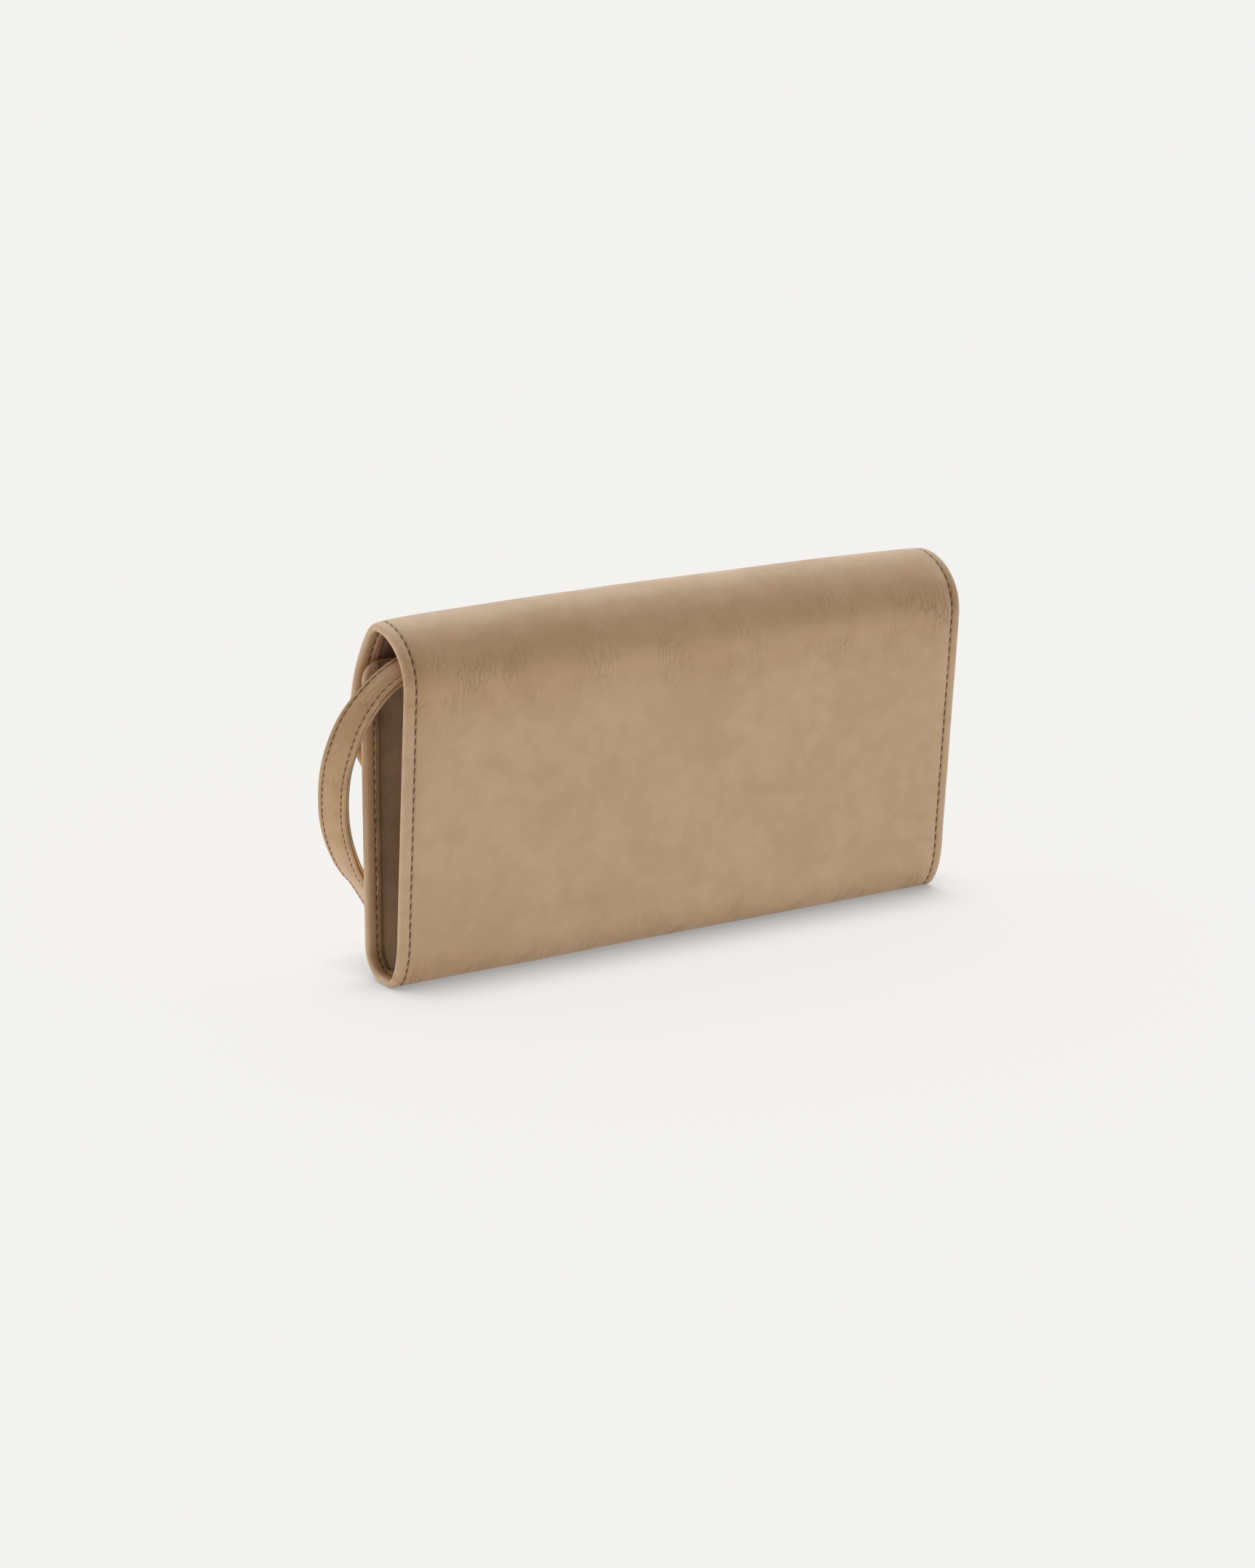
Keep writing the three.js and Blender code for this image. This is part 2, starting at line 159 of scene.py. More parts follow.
class Fold:
    """The outside line by length: where a spot at s is, and which way the leather runs there."""

    def __init__(self, spots):
        self.spots = spots
        self.lengths = [0.0]
        for a, b in zip(spots, spots[1:]):
            self.lengths.append(self.lengths[-1] + (b - a).length)
        self.ways = []
        for i in range(len(spots)):
            before, after = spots[max(i - 1, 0)], spots[min(i + 1, len(spots) - 1)]
            self.ways.append((after - before).normalized())

    def at(self, s):
        if s <= 0:
            return self.spots[0] + self.ways[0] * s, self.ways[0]
        low, high = 0, len(self.lengths) - 1
        while high - low > 1:
            middle = (low + high) // 2
            if self.lengths[middle] <= s:
                low = middle
            else:
                high = middle
        share = (s - self.lengths[low]) / (self.lengths[high] - self.lengths[low])
        return self.spots[low].lerp(self.spots[high], share), self.ways[low].lerp(self.ways[high], share)

    def place(self, x, s, h):
        spot, way = self.at(s)
        way = way.normalized()
        outward = Vector((way.y, -way.x))
        h -= drawn_in(x, s)
        return Vector((x, spot.x + outward.x * h, spot.y + outward.y * h))


OUTLINE, MARKS = fold_outline()
FOLD = Fold(OUTLINE)
S_BASE = FOLD.lengths[MARKS["base"]]
S_SHOULDER = FOLD.lengths[MARKS["shoulder"]]
S_APEX = FOLD.lengths[MARKS["apex"]]
S_BROW = FOLD.lengths[MARKS["brow"]]
S_KNEE = FOLD.lengths[MARKS["knee"]]
S_END = S_KNEE + (FOLD.spots[MARKS["knee"]].y - FLAP_LOW.z)
S_FOLD_1 = S_SHOULDER + 0.40 * (S_APEX - S_SHOULDER)
S_MID_1 = (S_FOLD_1 + S_APEX) / 2  # middle of the rear strip of the top fold
S_MID_2 = (S_APEX + S_BROW) / 2  # middle of its front strip


def at_fold(s):
    return FOLD.place(0, s, 0)


# ---------------------------------------------------------------- mesh helpers
def new_object(name, bm, material):
    mesh = bpy.data.meshes.new(name)
    for face in bm.faces:
        face.smooth = True
    bm.to_mesh(mesh)
    bm.free()
    piece = bpy.data.objects.new(name, mesh)
    bpy.context.scene.collection.objects.link(piece)
    mesh.materials.append(material)
    return piece


def outward_object(name, bm, material):
    bmesh.ops.recalc_face_normals(bm, faces=bm.faces)
    return new_object(name, bm, material)


def belongs(piece, body, finish, *replaced):
    """Says which body a rigid piece moves with, by parenting it to that body's empty, and hides the nodes
    that it stands for. Its finish is not used.
    """
    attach(piece, body)
    if replaced:
        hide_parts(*replaced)


def everything(bm):
    return bm.verts[:] + bm.edges[:] + bm.faces[:]


def cut_across(bm, normal, places):
    for place in places:
        bmesh.ops.bisect_plane(bm, geom=everything(bm), dist=1e-7, plane_co=Vector(normal) * place,
                               plane_no=normal)


def trim(bm, normal, place):
    """Cuts the slab off beyond a plane and closes the cut with a sharp-edged end."""
    bmesh.ops.bisect_plane(bm, geom=everything(bm), dist=1e-7, plane_co=Vector(normal) * place,
                           plane_no=normal, clear_outer=True)
    rim = [e for e in bm.edges if e.is_boundary]
    for edge in rim:
        edge.smooth = False
    bmesh.ops.holes_fill(bm, edges=rim, sides=0)


def rise(edge):
    return abs(edge.verts[0].co.z - edge.verts[1].co.z)


def round_edges(bm, edges, radius, segments):
    bmesh.ops.bevel(bm, geom=list(edges), offset=radius, offset_type="OFFSET", affect="EDGES",
                    segments=segments, profile=0.5, material=-1)


def round_rims(bm, radius, segments=3):
    """Rounds every edge round the slab's outer and inner face."""
    round_edges(bm, [e for e in bm.edges if rise(e) < 1e-7], radius, segments)


def plain_slab(size, centre):
    bm = bmesh.new()
    bmesh.ops.create_cube(bm, size=1)
    bmesh.ops.scale(bm, vec=size, verts=bm.verts)
    bmesh.ops.translate(bm, vec=centre, verts=bm.verts)
    return bm


def flat_slab(half, s0, s1, thick, roll, corner_start=0.0, corner_end=0.0, corner_segments=12):
    """A slab of leather lying flat with its outer face at z = 0, its corners and rims rounded."""
    bm = plain_slab((2 * half, s1 - s0, thick), (0, (s0 + s1) / 2, -thick / 2))
    for corner, end in ((corner_start, s0), (corner_end, s1)):
        if corner:
            upright_edges = [e for e in bm.edges if rise(e) > thick / 2 and abs(e.verts[0].co.y - end) < 1e-6]
            round_edges(bm, upright_edges, corner, corner_segments)
    round_rims(bm, roll)
    return bm


def face_towards(bm, up):
    """The largest face of the slab on its outer (up) or inner side."""
    sign = 1 if up else -1
    bm.normal_update()
    return max((f for f in bm.faces if f.normal.z * sign > 0.99), key=lambda f: f.calc_area())


def ring(bm, face, width, depth=0.0):
    """Narrows the face by a band round it, and sinks or raises what is left."""
    bmesh.ops.inset_region(bm, faces=[face], thickness=width, depth=depth, use_even_offset=True)


def groove(bm, face, before, falling, floor, rising, depth):
    """The groove that a stitch row lies in: the margin before it, its two slopes and its floor."""
    ring(bm, face, before)
    ring(bm, face, falling, -depth)
    ring(bm, face, floor)
    ring(bm, face, rising, depth)


def steps(start, stop, size):
    count = max(1, round((stop - start) / size))
    return [start + (stop - start) * i / count for i in range(1, count)]


def rim_distance(x, s, half, s0, s1, corner_start, corner_end):
    """How far a flat spot is from the slab's outline."""
    middle = (s0 + s1) / 2
    corner = corner_start if s < middle else corner_end
    dx = abs(x) - (half - corner)
    ds = abs(s - middle) - ((s1 - s0) / 2 - corner)
    outside = math.hypot(max(dx, 0), max(ds, 0))
    return corner - outside - min(max(dx, ds), 0)


def unevenness(x, s, rim):
    """Soft unevenness of the hide: wide waves, and puckers along the stitch lines."""
    wide = noise.noise(Vector((x * 28, s * 28, 3.1))) * 0.22
    middle = noise.noise(Vector((x * 90, s * 70, 7.7))) * 0.06
    pucker = math.exp(-((rim - STITCH_IN) / (2.2 * MM)) ** 2) * 0.05 * math.sin(2 * math.pi * (s + x) / PITCH)
    near_edge = 1 - math.exp(-max(rim, 0) / (9 * MM))
    return (wide * near_edge + middle + pucker * 0.6) * MM


def leather_layers(bm):
    """What the leather's materials read: a spot's flat place, distance to the rim, and how creased it is,
    which also sets how much painted shade darkens it.
    """
    layers = bm.verts.layers
    return layers.float_vector.new("flat"), layers.float.new("rim"), layers.float.new("crease")


def write_flat_coordinates(bm, shape, crease=None):
    flat, rim, creased = leather_layers(bm)
    for vert in bm.verts:
        vert[flat] = vert.co
        vert[rim] = rim_distance(vert.co.x, vert.co.y, *shape)
        vert[creased] = crease(vert.co.x, vert.co.y) if crease else 0.4
    return rim


def fold_up(bm, rim):
    """Carries the flat slab of outer leather onto the fold line; its inside is less uneven."""
    for vert in bm.verts:
        x, s, h = vert.co
        vert.co = FOLD.place(x, s, h + unevenness(x, s, vert[rim]) * (1 if h > -EDGE / 2 else 0.6))


def trim_ends(bm, s0, s1, start_edge, end_edge):
    """Cuts off the spare length where the stretch goes on into the next one."""
    if not start_edge:
        trim(bm, (0, -1, 0), -s0)
    if not end_edge:
        trim(bm, (0, 1, 0), s1)


def bump_at(value, centre, width):
    return math.exp(-((value - centre) / width) ** 2)


def shell_creases_and_shade(x, s):
    """Creases gather along the shoulder under the top fold, most near the sewn ends, and at the base; the
    same value darkens the colour with painted shade, a shaded band along the shoulder and the shaded
    underside of the base.
    """
    end = math.exp(-(HALF - abs(x)) / (22 * MM))
    shoulder = bump_at(s, S_SHOULDER + 1 * MM, 11 * MM)
    base = bump_at(s, S_BASE + 5 * MM, 9 * MM)
    return min(1.0, shoulder * (0.6 + 0.4 * end) + base * (0.75 + 0.25 * end) + 0.12 * end)


def stretch_shape(half, s0, s1, start_edge, end_edge, corner_start, corner_end):
    """The flat outline that a stretch is cut to before its spare length is trimmed."""
    return (half, s0 if start_edge else s0 - SPARE, s1 if end_edge else s1 + SPARE, corner_start, corner_end)


def leather_piece(name, s0, s1, start_edge, end_edge, along, corner_start=0.0, corner_end=0.0):
    """One stretch of the outer leather with turned, grooved edges. A start or end that is not an edge
    goes on into the next piece, so it is cut off square there."""
    shape = stretch_shape(HALF, s0, s1, start_edge, end_edge, corner_start, corner_end)
    bm = flat_slab(HALF, shape[1], shape[2], EDGE, ROLL, corner_start, corner_end)
    outer = face_towards(bm, True)
    groove(bm, outer, STITCH_IN - ROLL - 0.45 * MM, 0.40 * MM, 0.15 * MM, 0.45 * MM, 0.28 * MM)
    inner = face_towards(bm, False)
    groove(bm, inner, STITCH_IN - ROLL - 0.40 * MM, 0.35 * MM, 0.15 * MM, 0.35 * MM, 0.35 * MM)
    ring(bm, inner, HEM - STITCH_IN - 0.45 * MM)
    ring(bm, inner, 0.25 * MM, HIDE - EDGE)
    cut_across(bm, (0, 1, 0), along)
    cut_across(bm, (1, 0, 0), steps(-HALF + 6 * MM, HALF - 6 * MM, 2.5 * MM))
    trim_ends(bm, s0, s1, start_edge, end_edge)
    fold_up(bm, write_flat_coordinates(bm, shape, shell_creases_and_shade))
    return outward_object(name, bm, CALF)


# ---------------------------------------------------------------- materials
def new_group(name, inputs, outputs):
    """A shader node group with named sockets; returns it with its input and output nodes."""
    group = bpy.data.node_groups.new(name, "ShaderNodeTree")
    for label, kind, value in inputs:
        socket = group.interface.new_socket(label, in_out="INPUT", socket_type=kind)
        if value is not None:
            socket.default_value = value
    for label, kind in outputs:
        group.interface.new_socket(label, in_out="OUTPUT", socket_type=kind)
    return group, group.nodes.new("NodeGroupInput"), group.nodes.new("NodeGroupOutput")


def put(tree, kind, settings=None, **links):
    """Adds a node; links give a value or another node's socket, by the input's name with _ for a space, or
    by its number as i0, i1 and so on."""
    node = tree.nodes.new(kind)
    for key, value in (settings or {}).items():
        setattr(node, key, value)
    for key, value in links.items():
        by_number = key[0] == "i" and key[1:].isdigit()
        socket = node.inputs[int(key[1:]) if by_number else key.replace("_", " ")]
        if isinstance(value, bpy.types.NodeSocket):
            tree.links.new(value, socket)
        else:
            socket.default_value = value
    return node


def math_node(tree, operation, a, b=0.0, clamp=False):
    return put(tree, "ShaderNodeMath", {"operation": operation, "use_clamp": clamp}, i0=a, i1=b).outputs[0]


def times(tree, a, b, clamp=False):
    return math_node(tree, "MULTIPLY", a, b, clamp)


def blend_values(tree, factor, a, b):
    return put(tree, "ShaderNodeMix", {"data_type": "FLOAT"}, i0=factor, i2=a, i3=b).outputs[0]


def blend_colours(tree, factor, a, b):
    return put(tree, "ShaderNodeMix", {"data_type": "RGBA"}, i0=factor, i6=a, i7=b).outputs[2]


def mask(tree, value, low, high, out_low=0.0, out_high=1.0):
    """A smooth step from out_low to out_high as the value goes from low to high."""
    return put(tree, "ShaderNodeMapRange", {"interpolation_type": "SMOOTHSTEP"}, Value=value, From_Min=low,
               From_Max=high, To_Min=out_low, To_Max=out_high).outputs[0]


def cloud(tree, where, scale, detail, roughness=0.5, distortion=0.0):
    """Soft noise, from 0 to 1."""
    return put(tree, "ShaderNodeTexNoise", Vector=where, Scale=scale, Detail=detail, Roughness=roughness,
               Distortion=distortion)


def cells(tree, where, scale):
    """Distance to the nearest line of a net of irregular cells."""
    return put(tree, "ShaderNodeTexVoronoi", {"feature": "DISTANCE_TO_EDGE"}, Vector=where,
               Scale=scale).outputs["Distance"]


def scaled(tree, vector, scale):
    return put(tree, "ShaderNodeVectorMath", {"operation": "SCALE"}, i0=vector, Scale=scale).outputs[0]


def make_hide_grain():
    """Pores, a net of fine creases drawn out over the fold, and slow mottling."""
    tree, given, out = new_group(
        "hide_grain",
        [("Coordinates", "NodeSocketVector", None), ("Pore Size", "NodeSocketFloat", 0.0009),
         ("Crease", "NodeSocketFloat", 0.3)],
        [("Height", "NodeSocketFloat"), ("Mottle", "NodeSocketFloat"), ("Creases", "NodeSocketFloat")])
    where, crease = given.outputs["Coordinates"], given.outputs["Crease"]
    pores = cells(tree, where, math_node(tree, "DIVIDE", 1.0, given.outputs["Pore Size"]))
    fine = cloud(tree, where, 2600.0, 3.0, 0.6)
    stretched = put(tree, "ShaderNodeMapping", Vector=where, Scale=(620.0, 120.0, 120.0))
    warp = scaled(tree, cloud(tree, where, 45.0, 2.0).outputs["Color"], 2.6)
    bent = put(tree, "ShaderNodeVectorMath", {"operation": "ADD"}, i0=stretched.outputs[0], i1=warp)
    patch = cloud(tree, where, 70.0, 2.0)
    lines = times(tree, mask(tree, cells(tree, bent.outputs[0], 1.0), 0.0, 0.16, 0.7, 0.0),
                  mask(tree, patch.outputs["Fac"], 0.42, 0.6))
    creases = times(tree, lines, crease)
    height = math_node(tree, "ADD", times(tree, mask(tree, pores, 0.0, 0.25), 0.05),
                       times(tree, fine.outputs["Fac"], 0.22))
    tree.links.new(math_node(tree, "SUBTRACT", height, creases), out.inputs["Height"])
    slow = cloud(tree, where, 30.0, 4.0, 0.62, 0.4)
    blotch = cloud(tree, where, 150.0, 3.0, 0.6)
    tree.links.new(blend_values(tree, 0.38, slow.outputs["Fac"], blotch.outputs["Fac"]), out.inputs["Mottle"])
    tree.links.new(creases, out.inputs["Creases"])
    return tree


def make_sewn_edge():
    """Masks of a turned and sewn edge, from the distance to the rim: the stitch groove, and the rolled edge,
    made paler partly as wear and partly as a painted highlight.
    """
    tree, given, out = new_group(
        "sewn_edge",
        [("Rim Distance", "NodeSocketFloat", 0.1), ("Coordinates", "NodeSocketVector", None)],
        [("Groove", "NodeSocketFloat"), ("Wear And Highlight", "NodeSocketFloat")])
    distance = given.outputs["Rim Distance"]
    off_line = math_node(tree, "ABSOLUTE", math_node(tree, "SUBTRACT", distance, STITCH_IN))
    tree.links.new(mask(tree, off_line, 0.0002, 0.0008, 1.0, 0.0), out.inputs["Groove"])
    patchy = cloud(tree, given.outputs["Coordinates"], 160.0, 3.0, 0.6)
    rolled = mask(tree, distance, 0.0002, 0.0022, 1.0, 0.0)
    tree.links.new(times(tree, rolled, mask(tree, patchy.outputs["Fac"], 0.35, 0.7)), out.inputs["Wear And Highlight"])
    return tree


def make_weave():
    """A plain weave: threads over and under, from two coordinates."""
    tree, given, out = new_group(
        "tape_weave",
        [("Coordinates", "NodeSocketVector", None), ("Thread", "NodeSocketFloat", 0.0006)],
        [("Height", "NodeSocketFloat"), ("Thread Tone", "NodeSocketFloat")])
    scale = math_node(tree, "DIVIDE", 1.0, given.outputs["Thread"])
    near = scaled(tree, given.outputs["Coordinates"], scale)
    parts = put(tree, "ShaderNodeSeparateXYZ", Vector=near)
    warp = math_node(tree, "SINE", times(tree, parts.outputs[0], math.pi))
    weft = math_node(tree, "SINE", times(tree, parts.outputs[2], math.pi))
    tree.links.new(math_node(tree, "ABSOLUTE", times(tree, warp, weft)), out.inputs["Height"])
    loose = cloud(tree, near, 0.7, 2.0)
    tree.links.new(loose.outputs["Fac"], out.inputs["Thread Tone"])
    return tree


HIDE_GRAIN = make_hide_grain()
SEWN_EDGE = make_sewn_edge()
WEAVE = make_weave()


def srgb(r, g, b):
    return tuple(((c / 255 + 0.055) / 1.055) ** 2.4 for c in (r, g, b)) + (1.0,)


def new_material(name, roughness, sheen=0.0, specular=0.5, metallic=0.0):
    material = bpy.data.materials.new(name)
    material.use_nodes = True
    tree = material.node_tree
    shader = next(n for n in tree.nodes if n.type == "BSDF_PRINCIPLED")
    shader.inputs["Roughness"].default_value = roughness
    shader.inputs["Sheen Weight"].default_value = sheen
    shader.inputs["Sheen Roughness"].default_value = 0.5
    shader.inputs["Specular IOR Level"].default_value = specular
    shader.inputs["Metallic"].default_value = metallic
    return material, tree, shader


def attribute(tree, name):
    return put(tree, "ShaderNodeAttribute", {"attribute_name": name})


def relief_from(tree, shader, height, strength, distance):
    bump = put(tree, "ShaderNodeBump", Strength=strength, Distance=distance, Height=height)
    tree.links.new(bump.outputs["Normal"], shader.inputs["Normal"])


def leather(name, light, dark, groove_tone_and_shade, wear_and_highlight, painted_shade_tone, roughness, pore, relief, crease, specular):
    """Leather in flat coordinates, with its sewn edge: mottled between two tones, darker with painted shade
    where its crease value is high, its crease lines dark with painted shade, its stitch groove dark as partly
    its own tone and partly painted shade, and pale at the rolled edge as partly wear and partly a painted
    highlight."""
    material, tree, shader = new_material(name, roughness, specular=specular)
    where = attribute(tree, "flat").outputs["Vector"]
    distance = attribute(tree, "rim").outputs["Fac"]
    crease_and_shade = attribute(tree, "crease").outputs["Fac"]
    edge = put(tree, "ShaderNodeGroup", {"node_tree": SEWN_EDGE}, Rim_Distance=distance, Coordinates=where)
    grain = put(tree, "ShaderNodeGroup", {"node_tree": HIDE_GRAIN}, Coordinates=where, Pore_Size=pore,
                Crease=times(tree, crease_and_shade, crease))
    colour = blend_colours(tree, mask(tree, grain.outputs["Mottle"], 0.36, 0.66), dark, light)
    # Painted shade: darker where the crease value is high, on the shoulder band, the underside of the base,
    # near the sewn ends, at the gusset's fold and flanges and on the strap near the mouth.
    colour = blend_colours(tree, times(tree, crease_and_shade, 0.42, True), colour, painted_shade_tone)
    # Painted shade in the fine crease lines of the grain.
    colour = blend_colours(tree, times(tree, grain.outputs["Creases"], 0.30, True), colour, groove_tone_and_shade)
    # The stitch groove darker, partly its own darker tone and partly painted shade.
    colour = blend_colours(tree, times(tree, edge.outputs["Groove"], 0.30), colour, groove_tone_and_shade)
    # The rolled edge paler, partly wear and partly a painted highlight where the edge catches light.
    colour = blend_colours(tree, times(tree, edge.outputs["Wear And Highlight"], 0.5), colour, wear_and_highlight)
    tree.links.new(colour, shader.inputs["Base Color"])
    tree.links.new(mask(tree, grain.outputs["Mottle"], 0.3, 0.7, roughness + 0.08, roughness - 0.06),
                   shader.inputs["Roughness"])
    relief_from(tree, shader, grain.outputs["Height"], relief, 0.0004)
    return material


# In each leather below, the last colour is painted shade, laid on where its crease value is high; the colour
# for the stitch groove and crease lines is partly painted shade, and the pale colour for the rolled edge is
# partly wear and partly a painted highlight.
CALF = leather("calf", light=srgb(231, 195, 155), dark=srgb(219, 182, 140), groove_tone_and_shade=srgb(122, 88, 56),
               wear_and_highlight=srgb(236, 206, 172), painted_shade_tone=srgb(190, 138, 88), roughness=0.29, pore=0.0010, relief=0.55,
               crease=1.0, specular=0.5)
STRAP_CALF = leather("strap_calf", light=srgb(222, 186, 144), dark=srgb(204, 166, 122),
                     groove_tone_and_shade=srgb(110, 78, 48), wear_and_highlight=srgb(230, 200, 164), painted_shade_tone=srgb(176, 128, 82),
                     roughness=0.34, pore=0.0010, relief=0.5, crease=0.8, specular=0.42)
# The gusset's leather is the same calf, given darker colours as painted shade for the shade it lies in inside
# the wallet.
GUSSET_CALF_PAINTED_SHADE = leather("gusset_calf", light=srgb(156, 124, 92), dark=srgb(140, 108, 78),
                      groove_tone_and_shade=srgb(88, 62, 40), wear_and_highlight=srgb(182, 152, 120), painted_shade_tone=srgb(116, 84, 56),
                      roughness=0.5, pore=0.0010, relief=0.35, crease=0.9, specular=0.3)
# The lining's pale edge colour is a painted highlight, the light line along its folded edge.
LINING = leather("lining_calf", light=srgb(170, 128, 110), dark=srgb(150, 110, 92),
                 groove_tone_and_shade=srgb(92, 62, 50), wear_and_highlight=srgb(206, 170, 148), painted_shade_tone=srgb(122, 84, 68),
                 roughness=0.58, pore=0.0008, relief=0.25, crease=0.5, specular=0.35)


def make_thread():
    """Brown thread with its twist, darker in the hollows between its plies as painted shade."""
    material, tree, shader = new_material("thread", 0.6, specular=0.3)
    where = put(tree, "ShaderNodeTexCoord").outputs["Object"]
    twist = put(tree, "ShaderNodeTexWave", {"bands_direction": "DIAGONAL"}, Vector=where, Scale=900.0,
                Distortion=1.0)
    # Painted shade: the colour follows the twist's relief, darker in the hollows between the plies.
    colour = blend_colours(tree, twist.outputs["Fac"], srgb(98, 66, 38), srgb(142, 104, 66))
    tree.links.new(colour, shader.inputs["Base Color"])
    relief_from(tree, shader, twist.outputs["Fac"], 0.5, 0.00008)
    return material


def make_tape():
    """Woven brown zip tape."""
    material, tree, shader = new_material("zip_tape", 0.85, sheen=0.2, specular=0.25)
    where = put(tree, "ShaderNodeTexCoord").outputs["Object"]
    weave = put(tree, "ShaderNodeGroup", {"node_tree": WEAVE}, Coordinates=where, Thread=0.0006)
    lit = mask(tree, weave.outputs["Height"], 0.05, 0.8)
    colour = blend_colours(tree, lit, srgb(84, 62, 46), srgb(142, 112, 86))
    colour = blend_colours(tree, times(tree, weave.outputs["Thread Tone"], 0.4), colour, srgb(120, 92, 70))
    tree.links.new(colour, shader.inputs["Base Color"])
    relief_from(tree, shader, weave.outputs["Height"], 0.8, 0.0002)
    return material


def make_brass():
    """Pale brass with a brushed grain and tarnish in patches."""
    material, tree, shader = new_material("fittings", 0.26, metallic=1.0)
    where = put(tree, "ShaderNodeTexCoord").outputs["Object"]
    patches = cloud(tree, where, 420.0, 3.0, 0.6)
    long = put(tree, "ShaderNodeMapping", Vector=where, Scale=(300.0, 6000.0, 6000.0))
    brushed = cloud(tree, long.outputs[0], 1.0, 2.0)
    tarnish = mask(tree, patches.outputs["Fac"], 0.45, 0.75)
    colour = blend_colours(tree, tarnish, srgb(222, 200, 156), srgb(188, 158, 108))
    tree.links.new(colour, shader.inputs["Base Color"])
    tree.links.new(mask(tree, patches.outputs["Fac"], 0.3, 0.75, 0.2, 0.4), shader.inputs["Roughness"])
    relief_from(tree, shader, brushed.outputs["Fac"], 0.15, 0.00005)
    return material


THREAD = make_thread()
TAPE = make_tape()
BRASS = make_brass()


# ---------------------------------------------------------------- outer leather
NEAR_BASE = 22 * MM  # how far up the front panel the base bend is felt
PAST_BASE = 30 * MM  # and how far up the back
NEAR_SHOULDER = 12 * MM  # how far under the shoulder the top fold is felt


def bend_steps(start, stop):
    """Cuts close together where the leather bends, and just inside each end."""
    return [start + 0.1 * MM, *steps(start, stop, 0.8 * MM), stop - 0.1 * MM]


def front_cuts(first, size):
    bend_start = S_BASE - NEAR_BASE
    return steps(first, bend_start, size) + bend_steps(bend_start, S_BASE)


def back_cuts(size):
    straight, shoulder = S_BASE + PAST_BASE, S_SHOULDER - NEAR_SHOULDER
    return bend_steps(S_BASE, straight) + steps(straight, shoulder, size) + bend_steps(shoulder, S_MID_1)


def flap_cuts(last, size):
    return bend_steps(S_MID_2, S_KNEE) + steps(S_KNEE, last, size)


# Between which bodies a stretch bends, and where the bend starts and ends.
BENDS = {
    "front": ("back", "front", at_fold(S_BASE), at_fold(S_BASE - 17 * MM)),
    "rear": ("back", "top_rear", at_fold(S_SHOULDER), at_fold(S_MID_1)),
    "top": ("top_rear", "top_front", at_fold(S_MID_1), at_fold(S_MID_2)),
    "brow": ("top_front", "flap", at_fold(S_MID_2), at_fold(S_KNEE - 8 * MM)),
}


def bend(piece, name, *replaced, finish="calf"):
    """Bakes the placement of a stretch of leather or its stitches into its mesh and hides the nodes that it
    stands for.
    """
    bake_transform(piece)
    if replaced:
        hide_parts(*replaced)


front_shell = leather_piece("front_leather", 0, S_BASE, True, False, front_cuts(6 * MM, 2.5 * MM),
                            corner_start=FRONT_CORNER)
back_shell = leather_piece("back_leather", S_BASE, S_MID_1, False, False, back_cuts(2.0 * MM))
top_shell = leather_piece("top_leather", S_MID_1, S_MID_2, False, False, bend_steps(S_MID_1, S_MID_2))
flap_shell = leather_piece("flap_leather", S_MID_2, S_END, False, True, flap_cuts(S_END - 5 * MM, 2.5 * MM),
                           corner_end=FLAP_CORNER)
bend(front_shell, "front", "front_panel")
bend(back_shell, "rear", "back_panel", "base_fold")
bend(top_shell, "top", "top_fold_rear")
bend(flap_shell, "brow", "flap", "top_fold_front")


# ---------------------------------------------------------------- lining
LINING_OUT = 2.0 * MM  # depth of the lining's hidden face under the leather's outer face
LINING_THICK = 0.9 * MM
LINING_IN = 5 * MM  # how far it stays inside the leather's edges


def lining_piece(name, s0, s1, start_edge, end_edge, along, bend_name, *replaced, corner_start=0.0,
                 corner_end=0.0):
    """The lining of one stretch, with a line pressed in along its edge."""
    shape = stretch_shape(LINED, s0, s1, start_edge, end_edge, corner_start, corner_end)
    bm = flat_slab(LINED, shape[1], shape[2], LINING_THICK, 0.3 * MM, corner_start, corner_end, 8)
    inner = face_towards(bm, False)
    ring(bm, inner, 0.9 * MM)
    ring(bm, inner, 0.3 * MM, -0.18 * MM)
    ring(bm, inner, 0.3 * MM, 0.12 * MM)
    cut_across(bm, (0, 1, 0), along)
    cut_across(bm, (1, 0, 0), steps(-LINED + 3 * MM, LINED - 3 * MM, 6 * MM))
    trim_ends(bm, s0, s1, start_edge, end_edge)
    write_flat_coordinates(bm, shape)
    for vert in bm.verts:
        x, s, h = vert.co
        sag = noise.noise(Vector((x * 40, s * 40, 1.3))) * 0.12 * MM
        vert.co = FOLD.place(x, s, h - LINING_OUT + sag)
    piece = outward_object(name, bm, LINING)
    bend(piece, bend_name, *replaced, finish="lining_calf")


lining_piece("front_inside", LINING_IN, S_BASE, True, False, front_cuts(8 * MM, 6 * MM), "front",
             "front_lining", corner_start=2.5 * MM)
lining_piece("back_inside", S_BASE, S_MID_1, False, False, back_cuts(6 * MM), "rear",
             "base_lining", "back_lining")
lining_piece("top_inside", S_MID_1, S_MID_2, False, False, bend_steps(S_MID_1, S_MID_2), "top",
             "top_fold_lining_rear")
lining_piece("flap_inside", S_MID_2, S_END - LINING_IN, False, True, flap_cuts(S_END - 8 * MM, 6 * MM),
             "brow", "top_fold_lining_front", "flap_lining", corner_end=FLAP_CORNER - LINING_IN)


# ---------------------------------------------------------------- stitches
STITCH = 2.2 * MM  # length of one
STITCH_RADIUS = 0.21 * MM
STITCH_SLANT = 0.16


